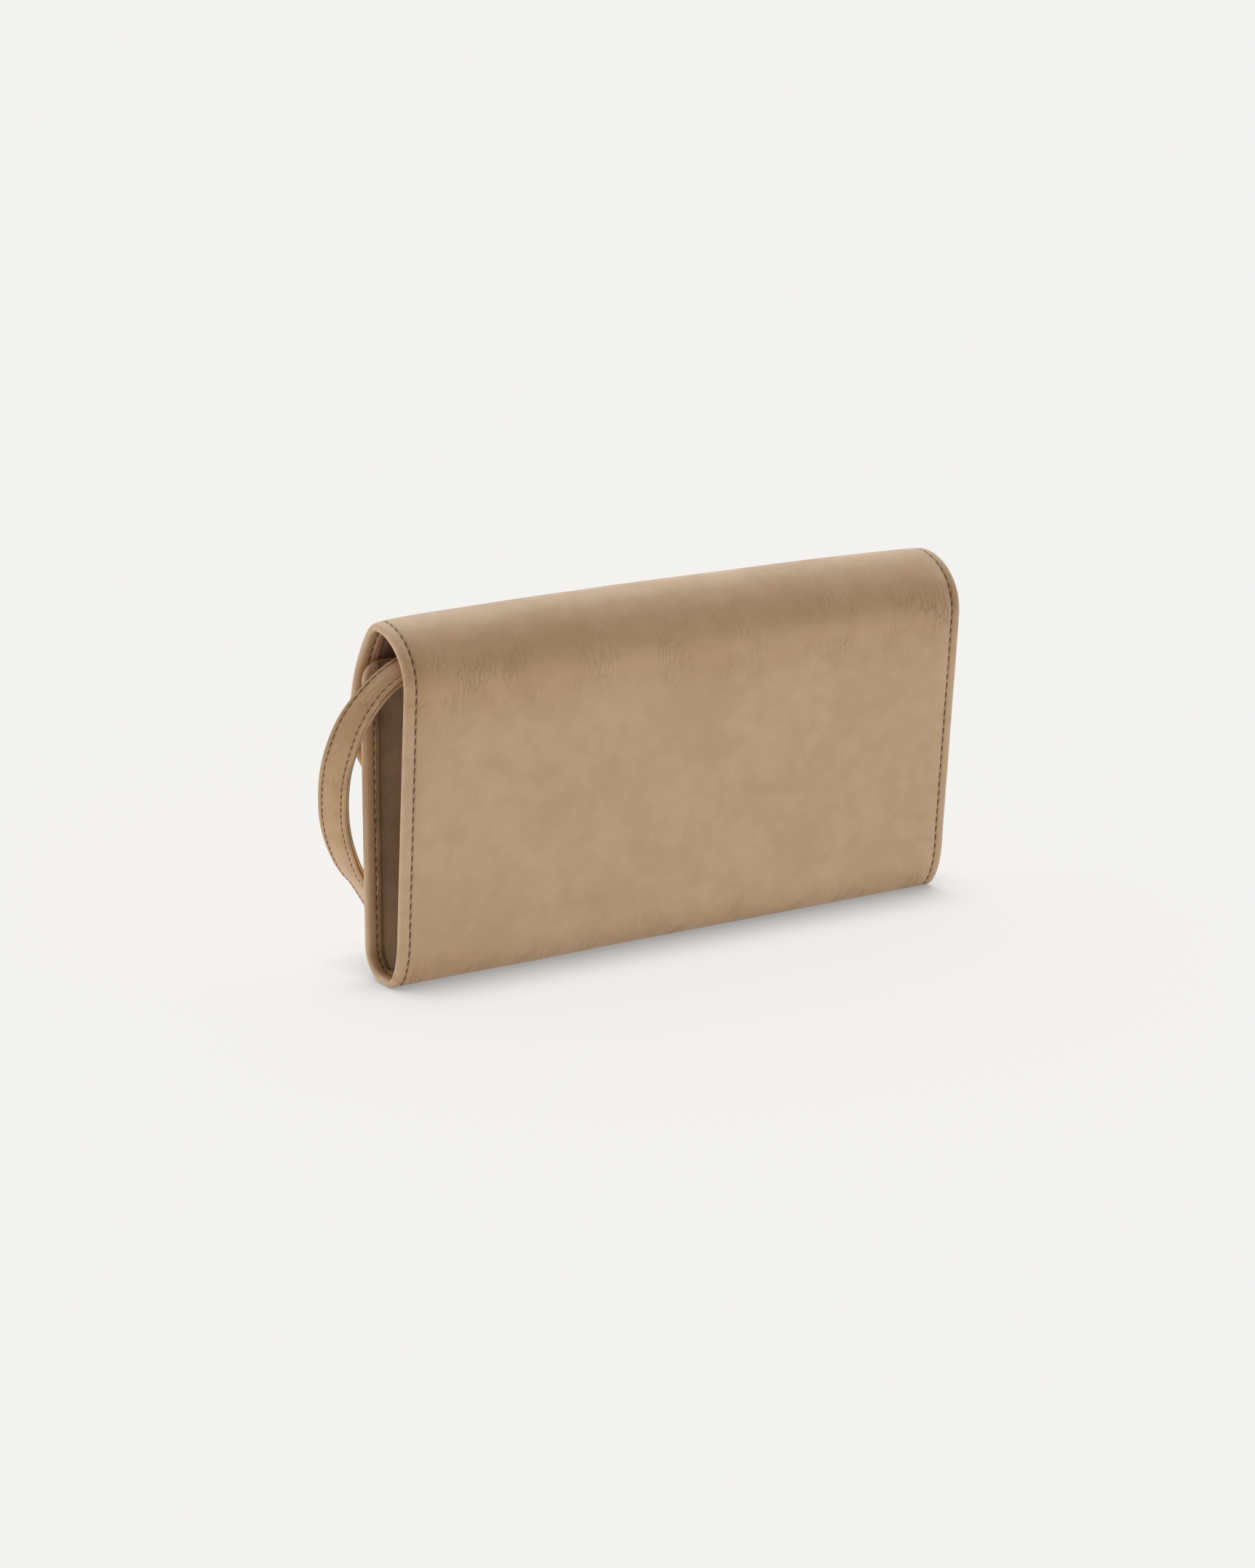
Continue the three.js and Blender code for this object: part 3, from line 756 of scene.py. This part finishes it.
def add_stitch(bm, place, along, normal, length=STITCH, radius=STITCH_RADIUS):
    """One stitch: a short, slightly slanted, flattened bead of thread."""
    normal = normal.normalized()
    along = (Matrix.Rotation(STITCH_SLANT, 3, normal) @ along).normalized()
    side = normal.cross(along).normalized()
    frame_matrix = Matrix((along * (length / 2), side * radius, normal * radius * 0.8)).transposed().to_4x4()
    frame_matrix.translation = place
    bmesh.ops.create_uvsphere(bm, u_segments=5, v_segments=6, radius=1,
                              matrix=frame_matrix @ Matrix.Rotation(math.pi / 2, 4, "Y"))


def flat_stitches(bm, start, end, depth, up=1):
    """A straight row on the flat leather; depth is its height over the outer face, under 0 inside."""
    start, end = Vector(start), Vector(end)
    count = max(1, round((end - start).length / PITCH))
    for i in range(count):
        spot = start.lerp(end, (i + 0.5) / count)
        add_stitch(bm, Vector((spot.x, spot.y, depth)), (end - start).to_3d(), Vector((0, 0, up)))


def corner_stitches(bm, centre, radius, turns, depth, up=1):
    """A row round a corner; turns are its first and last angle."""
    count = max(2, round(radius * abs(turns[1] - turns[0]) / PITCH))
    for i in range(count):
        angle = turns[0] + (turns[1] - turns[0]) * (i + 0.5) / count
        way = Vector((-math.sin(angle), math.cos(angle), 0))
        place = Vector((centre[0] + radius * math.cos(angle), centre[1] + radius * math.sin(angle), depth))
        add_stitch(bm, place, way, Vector((0, 0, up)))


def edge_stitches(name, s0, s1, bend_name, start_corner=0.0, end_corner=0.0):
    """Rows down both ends of one stretch of leather, seen outside and inside, with its turned corners."""
    bm = bmesh.new()
    x = HALF - STITCH_IN
    for depth, up in ((-0.16 * MM, 1), (-EDGE + 0.22 * MM, -1)):
        for side in (-1, 1):
            flat_stitches(bm, (side * x, s0 + start_corner), (side * x, s1 - end_corner), depth, up)
        for corner, edge, sign in ((start_corner, s0, -1), (end_corner, s1, 1)):
            if not corner:
                continue
            row = edge - sign * STITCH_IN
            flat_stitches(bm, (-HALF + corner, row), (HALF - corner, row), depth, up)
            for side in (-1, 1):
                first = 0 if side > 0 else sign * math.pi
                corner_stitches(bm, (side * (HALF - corner), edge - sign * corner), corner - STITCH_IN,
                                (first, sign * math.pi / 2), depth, up)
    for vert in bm.verts:
        vert.co = FOLD.place(*vert.co)
    bend(new_object(name, bm, THREAD), bend_name)


edge_stitches("front_stitches", 0, S_BASE - 0.6 * MM, "front", start_corner=FRONT_CORNER)
edge_stitches("back_stitches", S_BASE + 0.6 * MM, S_MID_1 - 0.4 * MM, "rear")
edge_stitches("top_stitches", S_MID_1 + 0.4 * MM, S_MID_2 - 0.4 * MM, "top")
edge_stitches("flap_stitches", S_MID_2 + 0.4 * MM, S_END, "brow", end_corner=FLAP_CORNER)


# ---------------------------------------------------------------- gussets
def inside_by_height(s0, s1):
    """How far back the leather's inner side is at each height, as pairs of z and y."""
    spots = [FOLD.place(0, s0 + (s1 - s0) * i / 200, -EDGE) for i in range(201)]
    return sorted((spot.z, spot.y) for spot in spots)


FRONT_INSIDE = inside_by_height(0, S_BASE - 4 * MM)
BACK_INSIDE = inside_by_height(S_BASE + 3 * MM, S_FOLD_1)


def look_up(table, z):
    """The second value of a table of pairs at z, on straight lines between its rows."""
    if z <= table[0][0]:
        return table[0][1]
    for (z0, y0), (z1, y1) in zip(table, table[1:]):
        if z <= z1:
            return y0 + (y1 - y0) * (z - z0) / max(z1 - z0, 1e-9)
    return table[-1][1]


GUSSET_WIDTH = 36 * MM  # from flange to flange, lying flat
GUSSET_THICK = 1.1 * MM
GUSSET_FLANGE = 1.5 * MM
GUSSET_LOW = 3.4 * MM
GUSSET_HIGH = FRONT_HIGH.z - 0.4 * MM
GUSSET_REACH = 10.5 * MM  # how far its fold goes in from the sewn line
GUSSET_LINE = HALF - HEM  # where it leaves the leather
GUSSET_SHARES = (0.0, 0.11, 0.49, 0.51, 0.89, 1.0)  # how much of its width lies before each corner
GUSSET_SOFT = 0.03  # share of its width over which a corner is rounded


def smoothstep(value, low, high):
    t = min(1.0, max(0.0, (value - low) / (high - low)))
    return t * t * (3 - 2 * t)


def gusset_path(z, wave):
    """The gusset seen from above at one height: front flange, fold, back flange, at the +X end."""
    front = look_up(FRONT_INSIDE, z) + GUSSET_THICK / 2
    back = look_up(BACK_INSIDE, z) - GUSSET_THICK / 2
    inward = GUSSET_REACH * smoothstep(z, 2 * MM, 46 * MM) + 0.8 * MM
    middle = front + (back - front) * 0.42
    line = GUSSET_LINE
    ends = line + GUSSET_FLANGE + wave
    return [Vector((ends, front)), Vector((line, front)), Vector((line - inward, middle - 0.5 * MM)),
            Vector((line - inward, middle + 0.5 * MM)), Vector((line, back)), Vector((ends, back))]


def along_path(path, share):
    """The spot on a gusset's path that has this share of its width before it."""
    share = min(max(share, 0.0), 1.0)
    for i in range(5):
        if share <= GUSSET_SHARES[i + 1]:
            t = (share - GUSSET_SHARES[i]) / (GUSSET_SHARES[i + 1] - GUSSET_SHARES[i])
            return path[i].lerp(path[i + 1], t)
    return path[-1]


def gusset_spot(share, z, h, side):
    """A spot on the gusset: its share of the width, its height, and its depth in the leather."""
    wave = noise.noise(Vector((share * 2, z * 160, side * 5.0))) * 0.5 * MM
    path = gusset_path(z, wave)
    before, after = along_path(path, share - GUSSET_SOFT), along_path(path, share + GUSSET_SOFT)
    here = (before + after + along_path(path, share)) / 3
    if share < GUSSET_SOFT or share > 1 - GUSSET_SOFT:
        here = along_path(path, share)
    way = (after - before).normalized()
    out = Vector((-way.y, way.x))
    soft = noise.noise(Vector((share * 3.0, z * 45, 9.0 + side))) * 0.5 * MM * bump_at(share, 0.5, 0.35)
    spot = here - out * (h + soft)
    return Vector((side * spot.x, spot.y, z))


def make_gusset(side, name, *replaced):
    """The folded strip at one end, creased at its fold and where it leaves the flanges, and darkened there
    with painted shade.
    """
    half = GUSSET_WIDTH / 2
    bm = plain_slab((GUSSET_WIDTH, GUSSET_HIGH - GUSSET_LOW, GUSSET_THICK),
                    (0, (GUSSET_HIGH + GUSSET_LOW) / 2, 0))
    round_rims(bm, 0.35 * MM, 2)
    cut_across(bm, (1, 0, 0), steps(-half + 1 * MM, half - 1 * MM, 0.9 * MM))
    cut_across(bm, (0, 1, 0), steps(GUSSET_LOW + 1 * MM, GUSSET_HIGH - 1 * MM, 2.0 * MM))
    flat, rim, creased = leather_layers(bm)
    for vert in bm.verts:
        u, z, h = vert.co
        at_flange = bump_at(abs(u), GUSSET_WIDTH * 0.39, 2.0 * MM)
        vert[flat] = Vector((u, z, h))
        vert[rim] = min(half - abs(u), GUSSET_HIGH - z) + 0.5 * MM
        # The crease value also darkens the colour here with painted shade, at the fold and along the flanges.
        vert[creased] = 0.35 + 0.65 * at_flange + 0.5 * bump_at(u, 0, 3 * MM)
        vert.co = gusset_spot(u / GUSSET_WIDTH + 0.5, z, h, side)
    piece = outward_object(name, bm, GUSSET_CALF_PAINTED_SHADE)
    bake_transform(piece)
    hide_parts(*replaced)


make_gusset(1, "gusset_right", "gusset_front_right", "gusset_back_right")
make_gusset(-1, "gusset_left", "gusset_front_left", "gusset_back_left")


# ---------------------------------------------------------------- wrist strap
# The strap is one flat band, doubled: it goes out and down, turns round an eye and comes back under itself.
# It is drawn in a plane that leans back, by x and by the distance r down that plane.
LEAN = Vector((0, -0.387, -0.922))
STRAP_TOP = Vector((0, 7.1 * MM, 100.9 * MM))
STRAP_NORMAL = Vector((0, -0.922, 0.387))
STRAP_WIDTH = 9.4 * MM
STRAP_THICK = 1.25 * MM
STRAP_SLIT = 0.25 * MM
STRAP_LINE = [(84, 2.4), (90, 2.6), (96.4, 4.9), (103, 11.2), (108.2, 21), (110.5, 33), (110, 45),
              (107.2, 58), (101.9, 70.5), (95, 81), (87, 88.4)]  # in mm
EYE = Vector((82.9, 92.2)) * MM
EYE_RADIUS = 4.25 * MM
EYE_MOUTH = 58  # half the angle at which the two runs meet the eye
STRAP_TWIST = math.radians(34)  # how far the hanging part turns its face outwards
STRAP_ROW_IN = 1.5 * MM  # stitch row from the strap's edge


def smooth_line(spots, count):
    """A smooth line through the spots, by Catmull-Rom."""
    line = []
    for i in range(len(spots) - 1):
        a, b, c, d = spots[max(i - 1, 0)], spots[i], spots[i + 1], spots[min(i + 2, len(spots) - 1)]
        for k in range(count):
            t = k / count
            line.append((b * 2 + (c - a) * t + (a * 2 - b * 5 + c * 4 - d) * t ** 2
                         + (b * 3 - a - c * 3 + d) * t ** 3) / 2)
    line.append(spots[-1])
    return line


def strap_route():
    """Middle line of the single band from one sewn end to the other."""
    middle = smooth_line([Vector(p) * MM for p in STRAP_LINE], 10)
    offset = (STRAP_SLIT + STRAP_THICK) / 2
    outer, inner = [], []
    for i, spot in enumerate(middle):
        way = (middle[min(i + 1, len(middle) - 1)] - middle[max(i - 1, 0)]).normalized()
        away = Vector((way.y, -way.x))
        outer.append(spot + away * offset)
        inner.append(spot - away * offset)
    back = (middle[-1] - EYE).normalized()
    side = Vector((-back.y, back.x))
    if side.dot(outer[-1] - EYE) < 0:
        side = -side
    turn = []
    for i in range(15):
        angle = math.radians(EYE_MOUTH + (360 - 2 * EYE_MOUTH) * i / 14)
        turn.append(EYE + back * EYE_RADIUS * math.cos(angle) + side * EYE_RADIUS * math.sin(angle))
    keep = len(outer) - 5
    spots = [outer[i] for i in range(0, keep, 4)] + turn + [inner[i] for i in range(keep - 1, -1, -4)]
    return smooth_line(spots, 4)


STRAP = Fold(strap_route())
STRAP_TAIL = (Vector(STRAP_LINE[-1]) - Vector(STRAP_LINE[-2])).normalized()
EYE_AWAY = Vector((STRAP_TAIL.y, -STRAP_TAIL.x))


def in_lean(flat):
    """A direction or length in the leaning plane, from its x and its distance down the plane."""
    return Vector((flat.x, 0, 0)) + LEAN * flat.y


def strap_spot(r, w, h):
    """A spot on the strap: r along the band, w across it, h out of its outer face. Both runs turn together
    round the middle line of the doubled strap, and the turn at the eye joins them."""
    spot, way = STRAP.at(r)
    way = way.normalized()
    away = Vector((way.y, -way.x))
    half_way = STRAP.lengths[-1] / 2
    run = 1 if r < half_way else -1
    beyond = smoothstep(abs(r - half_way), 9 * MM, 24 * MM)
    lift = (STRAP_THICK + STRAP_SLIT) / 2 * beyond
    middle = spot - away * lift
    turned, eased = smoothstep(spot.y, 5 * MM, 33 * MM), smoothstep(spot.y, 60 * MM, 90 * MM)
    twist = STRAP_TWIST * turned * (1 - 0.4 * eased)
    outward = EYE_AWAY.lerp(away * run, beyond)
    along = in_lean(way)
    across = STRAP_NORMAL * math.cos(twist) + in_lean(outward) * math.sin(twist)
    across = (across - along * across.dot(along)).normalized()
    face = across.cross(along)
    if face.dot(in_lean(away)) < 0:
        face = -face
    return STRAP_TOP + in_lean(middle) + across * w + face * (h + lift)


def make_strap():
    """The band with a groove along both edges, most creased near the mouth, where the crease value also
    darkens it with painted shade.
    """
    length = STRAP.lengths[-1]
    bm = plain_slab((length, STRAP_WIDTH, STRAP_THICK), (length / 2, 0, 0))
    round_rims(bm, 0.75 * MM)
    for up in (True, False):
        groove(bm, face_towards(bm, up), 0.45 * MM, 0.25 * MM, 0.1 * MM, 0.25 * MM, 0.16 * MM)
    cut_across(bm, (1, 0, 0), steps(2 * MM, length - 2 * MM, 1.1 * MM))
    flat, rim, creased = leather_layers(bm)
    for vert in bm.verts:
        r, w, h = vert.co
        vert[flat] = Vector((w, r, h))
        vert[rim] = (STRAP_WIDTH / 2 - abs(w)) * STITCH_IN / (1.45 * MM)
        hang = STRAP.at(r)[0].y
        # The crease value also darkens the colour with painted shade, most near the mouth.
        vert[creased] = 1.0 - 0.85 * smoothstep(hang, 12 * MM, 75 * MM)
        soft = noise.noise(Vector((r * 90, w * 60, 4.0))) * 0.08 * MM
        vert.co = strap_spot(r, w + noise.noise(Vector((r * 60, 0, 0))) * 0.12 * MM, h + soft)
    return outward_object("strap_band", bm, STRAP_CALF)


def make_strap_stitches():
    margin = 3 * MM
    row = STRAP.lengths[-1] - 2 * margin
    count = round(row / (2.6 * MM))
    bm = bmesh.new()
    for side in (-1, 1):
        for up in (-1, 1):
            for i in range(count):
                r = margin + row * (i + 0.5) / count
                w = side * (STRAP_WIDTH / 2 - STRAP_ROW_IN)
                add_stitch(bm, Vector((r, w, up * (STRAP_THICK / 2 - 0.04 * MM))), Vector((1, 0, 0)),
                           Vector((0, 0, up)), length=1.8 * MM, radius=0.17 * MM)
    for vert in bm.verts:
        vert.co = strap_spot(*vert.co)
    return new_object("strap_stitches", bm, THREAD)


def bend_strap(piece):
    """Bakes the placement of the strap or its stitches into its mesh."""
    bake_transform(piece)


strap_band = make_strap()
bend_strap(strap_band)
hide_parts("strap_root", "wrist_strap")
bend_strap(make_strap_stitches())


# ---------------------------------------------------------------- flat pieces inside
STITCH_SUNK = -0.05 * MM  # height of the inside pieces' stitches
POCKET_DEPTH = 3.8 * MM  # how deep the rearmost card pocket lies under the outer face of the back
POCKET_STEP = 1.1 * MM  # how much further in each next one lies


def inside_panel(node, place, body, finish, material, thick, roll, corner=0.0, row=1.6 * MM, stitched=True,
                 waves=0.1 * MM):
    """A flat sewn piece of leather or tape as large as its node, drawn in x and z, then put in its place.
    A stitched one has a grooved row along its top and down both sides."""
    low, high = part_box(node)
    half = (high.x - low.x) / 2
    middle = (high.x + low.x) / 2
    bm = flat_slab(half, low.z, high.z, thick, roll, corner, corner, 5)
    if stitched:
        groove(bm, face_towards(bm, True), row - roll - 0.3 * MM, 0.25 * MM, 0.1 * MM, 0.25 * MM, 0.14 * MM)
    cut_across(bm, (1, 0, 0), steps(-half + 3 * MM, half - 3 * MM, 8 * MM))
    cut_across(bm, (0, 1, 0), steps(low.z + 3 * MM, high.z - 3 * MM, 8 * MM))
    write_flat_coordinates(bm, (half, low.z, high.z, corner, corner))
    for vert in bm.verts:
        x, z, h = vert.co
        soft = noise.noise(Vector((x * 50 + middle * 90, z * 50, 2.0))) * waves
        vert.co = place(x + middle, z, h + soft)
    belongs(outward_object(node + "_leather", bm, material), body, finish, node)
    if stitched:
        thread = bmesh.new()
        top = high.z - row
        left, right = middle - half + row, middle + half - row
        flat_stitches(thread, (left, top), (right, top), STITCH_SUNK)
        for x in (left, right):
            flat_stitches(thread, (x, top - row), (x, low.z + row), STITCH_SUNK)
        for vert in thread.verts:
            vert.co = place(*vert.co)
        belongs(new_object(node + "_leather_stitches", thread, THREAD), body, finish)


BACK_SPOTS = [S_BASE + 5 * MM + (S_SHOULDER - S_BASE) * i / 200 for i in range(201)]
BACK_BY_HEIGHT = sorted((at_fold(s).z, s) for s in BACK_SPOTS)


def on_back(depth):
    """Puts a flat spot on the inside of the back, so deep under its outer face, facing inwards."""
    return lambda x, z, h: FOLD.place(x, look_up(BACK_BY_HEIGHT, z), -depth - h)


for step in range(3):
    for side in ("left", "right"):
        inside_panel(f"card_pocket_{side}_{step + 1}", on_back(POCKET_DEPTH + POCKET_STEP * step), "back",
                     "lining_calf", LINING, thick=0.85 * MM, roll=0.3 * MM, corner=2 * MM)


def upright(node, facing):
    """Puts a flat spot upright, its outer face where the node's is that looks along +Y (1) or -Y (-1)."""
    low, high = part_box(node)
    y = low.y if facing < 0 else high.y
    return lambda x, z, h: Vector((x, y + facing * h, z))


def thickness(node):
    low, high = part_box(node)
    return high.y - low.y


for node, facing in (("coin_pocket_front", -1), ("coin_pocket_back", 1)):
    inside_panel(node, upright(node, facing), "divider", "lining_calf", LINING, thick=thickness(node),
                 roll=0.2 * MM, corner=2 * MM, row=2.4 * MM)
inside_panel("coin_pocket_hem", upright("coin_pocket_hem", 1), "divider", "lining_calf", LINING,
             thick=thickness("coin_pocket_hem"), roll=0.2 * MM, stitched=False)


# ---------------------------------------------------------------- zip
TOOTH_SPACING = 1.25 * MM


def make_tapes():
    for node, facing in (("zip_tape_front", -1), ("zip_tape_back", 1)):
        inside_panel(node, upright(node, facing), "divider", "zip_tape", TAPE, thick=thickness(node),
                     roll=0.12 * MM, stitched=False, waves=0.05 * MM)


def make_teeth():
    """Small blocks that reach in from the two tapes by turns."""
    low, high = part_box("zip_teeth")
    middle = (low.y + high.y) / 2
    bm = bmesh.new()
    for i in range(int((high.x - low.x) / TOOTH_SPACING)):
        side = 1 if i % 2 else -1
        x = low.x + TOOTH_SPACING * (i + 0.5)
        size = (0.85 * MM, (high.y - low.y) * 0.62, high.z - low.z)
        place = Matrix.Translation((x, middle + side * (high.y - low.y) * 0.17, (low.z + high.z) / 2))
        bmesh.ops.create_cube(bm, size=1, matrix=place @ Matrix.Diagonal((*size, 1)))
    round_edges(bm, bm.edges, 0.16 * MM, 1)
    belongs(new_object("teeth", bm, BRASS), "divider", "fittings", "zip_teeth")


def edges_of(verts):
    return {e for v in verts for e in v.link_edges}


def shaped_block(bm, size, centre, narrow, radius):
    """A block whose -X end is narrower, with every edge rounded."""
    made = bmesh.ops.create_cube(bm, size=1)["verts"]
    bmesh.ops.scale(bm, vec=size, verts=made)
    for vert in made:
        if vert.co.x < 0:
            vert.co.y *= narrow
    bmesh.ops.translate(bm, vec=centre, verts=made)
    round_edges(bm, edges_of(made), radius, 3)


def make_slider():
    """Two plates joined by a post, and a bridge on top for the pull."""
    low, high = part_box("zip_slider")
    size, centre = high - low, (high + low) / 2
    bm = bmesh.new()
    plate = size.z * 0.32
    for z in (low.z + plate / 2, high.z - plate / 2 - 0.35 * MM):
        shaped_block(bm, (size.x, size.y, plate), (centre.x, centre.y, z), 0.62, 0.3 * MM)
    post = (1.6 * MM, 0.9 * MM, size.z * 0.9)
    shaped_block(bm, post, (high.x - 1.4 * MM, centre.y, centre.z), 0.7, 0.2 * MM)
    over = Matrix.Translation((centre.x, centre.y, high.z - 0.3 * MM))
    thin = Matrix.Diagonal((size.x * 0.5, 1.2 * MM, 0.55 * MM, 1))
    bridge = bmesh.ops.create_cube(bm, size=1, matrix=over @ thin)
    round_edges(bm, edges_of(bridge["verts"]), 0.18 * MM, 2)
    belongs(new_object("slider", bm, BRASS), "slider", "fittings", "zip_slider")


def make_pull():
    """A flat tongue with a long slot, rounded at its free end."""
    low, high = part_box("zip_pull")
    size, centre = high - low, (high + low) / 2
    bm = bmesh.new()
    bmesh.ops.create_cube(bm, size=1, matrix=Matrix.Translation(centre) @ Matrix.Diagonal((*size, 1)))
    round_edges(bm, [e for e in bm.edges if rise(e) > size.z / 2], min(size.x, size.y) * 0.42, 6)
    bm.normal_update()
    tops = [f for f in bm.faces if abs(f.normal.z) > 0.9]
    bmesh.ops.inset_individual(bm, faces=tops, thickness=size.y * 0.24, use_even_offset=True)
    bmesh.ops.bridge_loops(bm, edges=list({e for f in tops for e in f.edges}))
    bmesh.ops.delete(bm, geom=tops, context="FACES_ONLY")
    sharp = [e for e in bm.edges if len(e.link_faces) == 2 and e.calc_face_angle(0) > 1.2]
    round_edges(bm, sharp, 0.18 * MM, 2)
    belongs(outward_object("pull", bm, BRASS), "pull", "fittings", "zip_pull")


make_tapes()
make_teeth()
make_slider()
make_pull()


# ---------------------------------------------------------------- snap and strap tab
# Radius and height, as shares of the fitting's own, from the middle of its foot to the middle of its face.
SOCKET_PROFILE = [(0, 0), (0.94, 0), (1, 0.12), (1, 0.62), (0.93, 0.86), (0.84, 0.98), (0.74, 1.0),
                  (0.62, 0.92), (0.52, 0.72), (0.40, 0.66), (0.30, 0.40), (0, 0.36)]
STUD_PROFILE = [(0, 0), (0.94, 0), (1, 0.1), (1, 0.38), (0.94, 0.50), (0.80, 0.56), (0.45, 0.56),
                (0.38, 0.66), (0.36, 0.86), (0.28, 0.97), (0, 1.0)]


def make_snap(node, facing, body, profile):
    """A round fitting spun from its profile, its face looking along +Y (1) or -Y (-1)."""
    low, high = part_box(node)
    radius, depth = (high.x - low.x) / 2, high.y - low.y
    middle = (low + high) / 2
    base = low.y if facing > 0 else high.y
    bm = bmesh.new()
    spots = [bm.verts.new((radius * r, 0, depth * h)) for r, h in profile]
    edges = [bm.edges.new(pair) for pair in zip(spots, spots[1:])]
    bmesh.ops.spin(bm, geom=spots + edges, cent=(0, 0, 0), axis=(0, 0, 1), angle=2 * math.pi, steps=40,
                   use_merge=True)
    bmesh.ops.remove_doubles(bm, verts=bm.verts, dist=1e-6)
    turn = Matrix.Rotation(-facing * math.pi / 2, 4, "X")
    bmesh.ops.transform(bm, matrix=Matrix.Translation((middle.x, base, middle.z)) @ turn, verts=bm.verts)
    belongs(outward_object(node + "_metal", bm, BRASS), body, "fittings", node)


make_snap("snap_socket", -1, "front", SOCKET_PROFILE)
make_snap("snap_stud", 1, "flap", STUD_PROFILE)
inside_panel("strap_tab", upright("strap_tab", -1), "back", "calf", STRAP_CALF, thick=thickness("strap_tab"),
             roll=0.3 * MM, corner=1.5 * MM)


# ---------------------------------------------------------------- studio
BACKDROP = srgb(244, 243, 241)
ROOM_BRIGHT = 1.0  # the room beyond the wallet's front and beside it
ROOM_DIM = 0.14  # the side that its back looks at
KEY_LIGHT = 0.95  # the softbox above and beyond the front
SOFTBOX_WAY = Vector((-0.10, -0.52, 0.85))
DIM_WAY = Vector((0.30, 0.95, 0.10))
FLOOR_GLOW = 0.885
SHADOW_REACH = 0.024  # how far from the wallet the floor darkens, in metres


def make_floor():
    """A floor as pale as the backdrop, darker close to the wallet."""
    material, tree, shader = new_material("studio_white", 0.95, specular=0.0)
    shader.inputs["Base Color"].default_value = (0.13, 0.129, 0.128, 1)
    shader.inputs["Emission Color"].default_value = BACKDROP
    near = put(tree, "ShaderNodeAmbientOcclusion", {"samples": 8}, Distance=SHADOW_REACH)
    shade = mask(tree, near.outputs["AO"], 0.2, 1.0, 0.42, 1.0)
    tree.links.new(times(tree, shade, FLOOR_GLOW), shader.inputs["Emission Strength"])
    bm = bmesh.new()
    bmesh.ops.create_grid(bm, x_segments=1, y_segments=1, size=20)
    new_object("studio_floor", bm, material)


def towards_way(tree, direction, way):
    """How closely a direction follows a way: 1 along it, 0 square to it."""
    node = put(tree, "ShaderNodeVectorMath", {"operation": "DOT_PRODUCT"}, i0=direction, i1=way.normalized())
    return node.outputs["Value"]


def make_world():
    """An even pale backdrop to look at, and the light of a studio: a softbox in a bright room with one dim
    side."""
    world = bpy.data.worlds.new("studio")
    bpy.context.scene.world = world
    world.use_nodes = True
    tree = world.node_tree
    out = tree.nodes["Background"]
    towards = put(tree, "ShaderNodeTexCoord").outputs["Generated"]
    parts = put(tree, "ShaderNodeSeparateXYZ", Vector=towards)
    softbox = mask(tree, towards_way(tree, towards, SOFTBOX_WAY), 0.84, 0.93)
    above_floor = mask(tree, parts.outputs[2], 0.0, 0.10)
    dim = times(tree, mask(tree, towards_way(tree, towards, DIM_WAY), 0.0, 0.45), above_floor)
    room = blend_values(tree, dim, ROOM_BRIGHT, ROOM_DIM)
    strength = math_node(tree, "ADD", room, times(tree, softbox, KEY_LIGHT))
    seen = put(tree, "ShaderNodeLightPath").outputs["Is Camera Ray"]
    tree.links.new(blend_values(tree, seen, strength, 1.0), out.inputs["Strength"])
    out.inputs["Color"].default_value = BACKDROP
    bpy.context.scene.view_settings.view_transform = "Standard"


make_floor()
make_world()
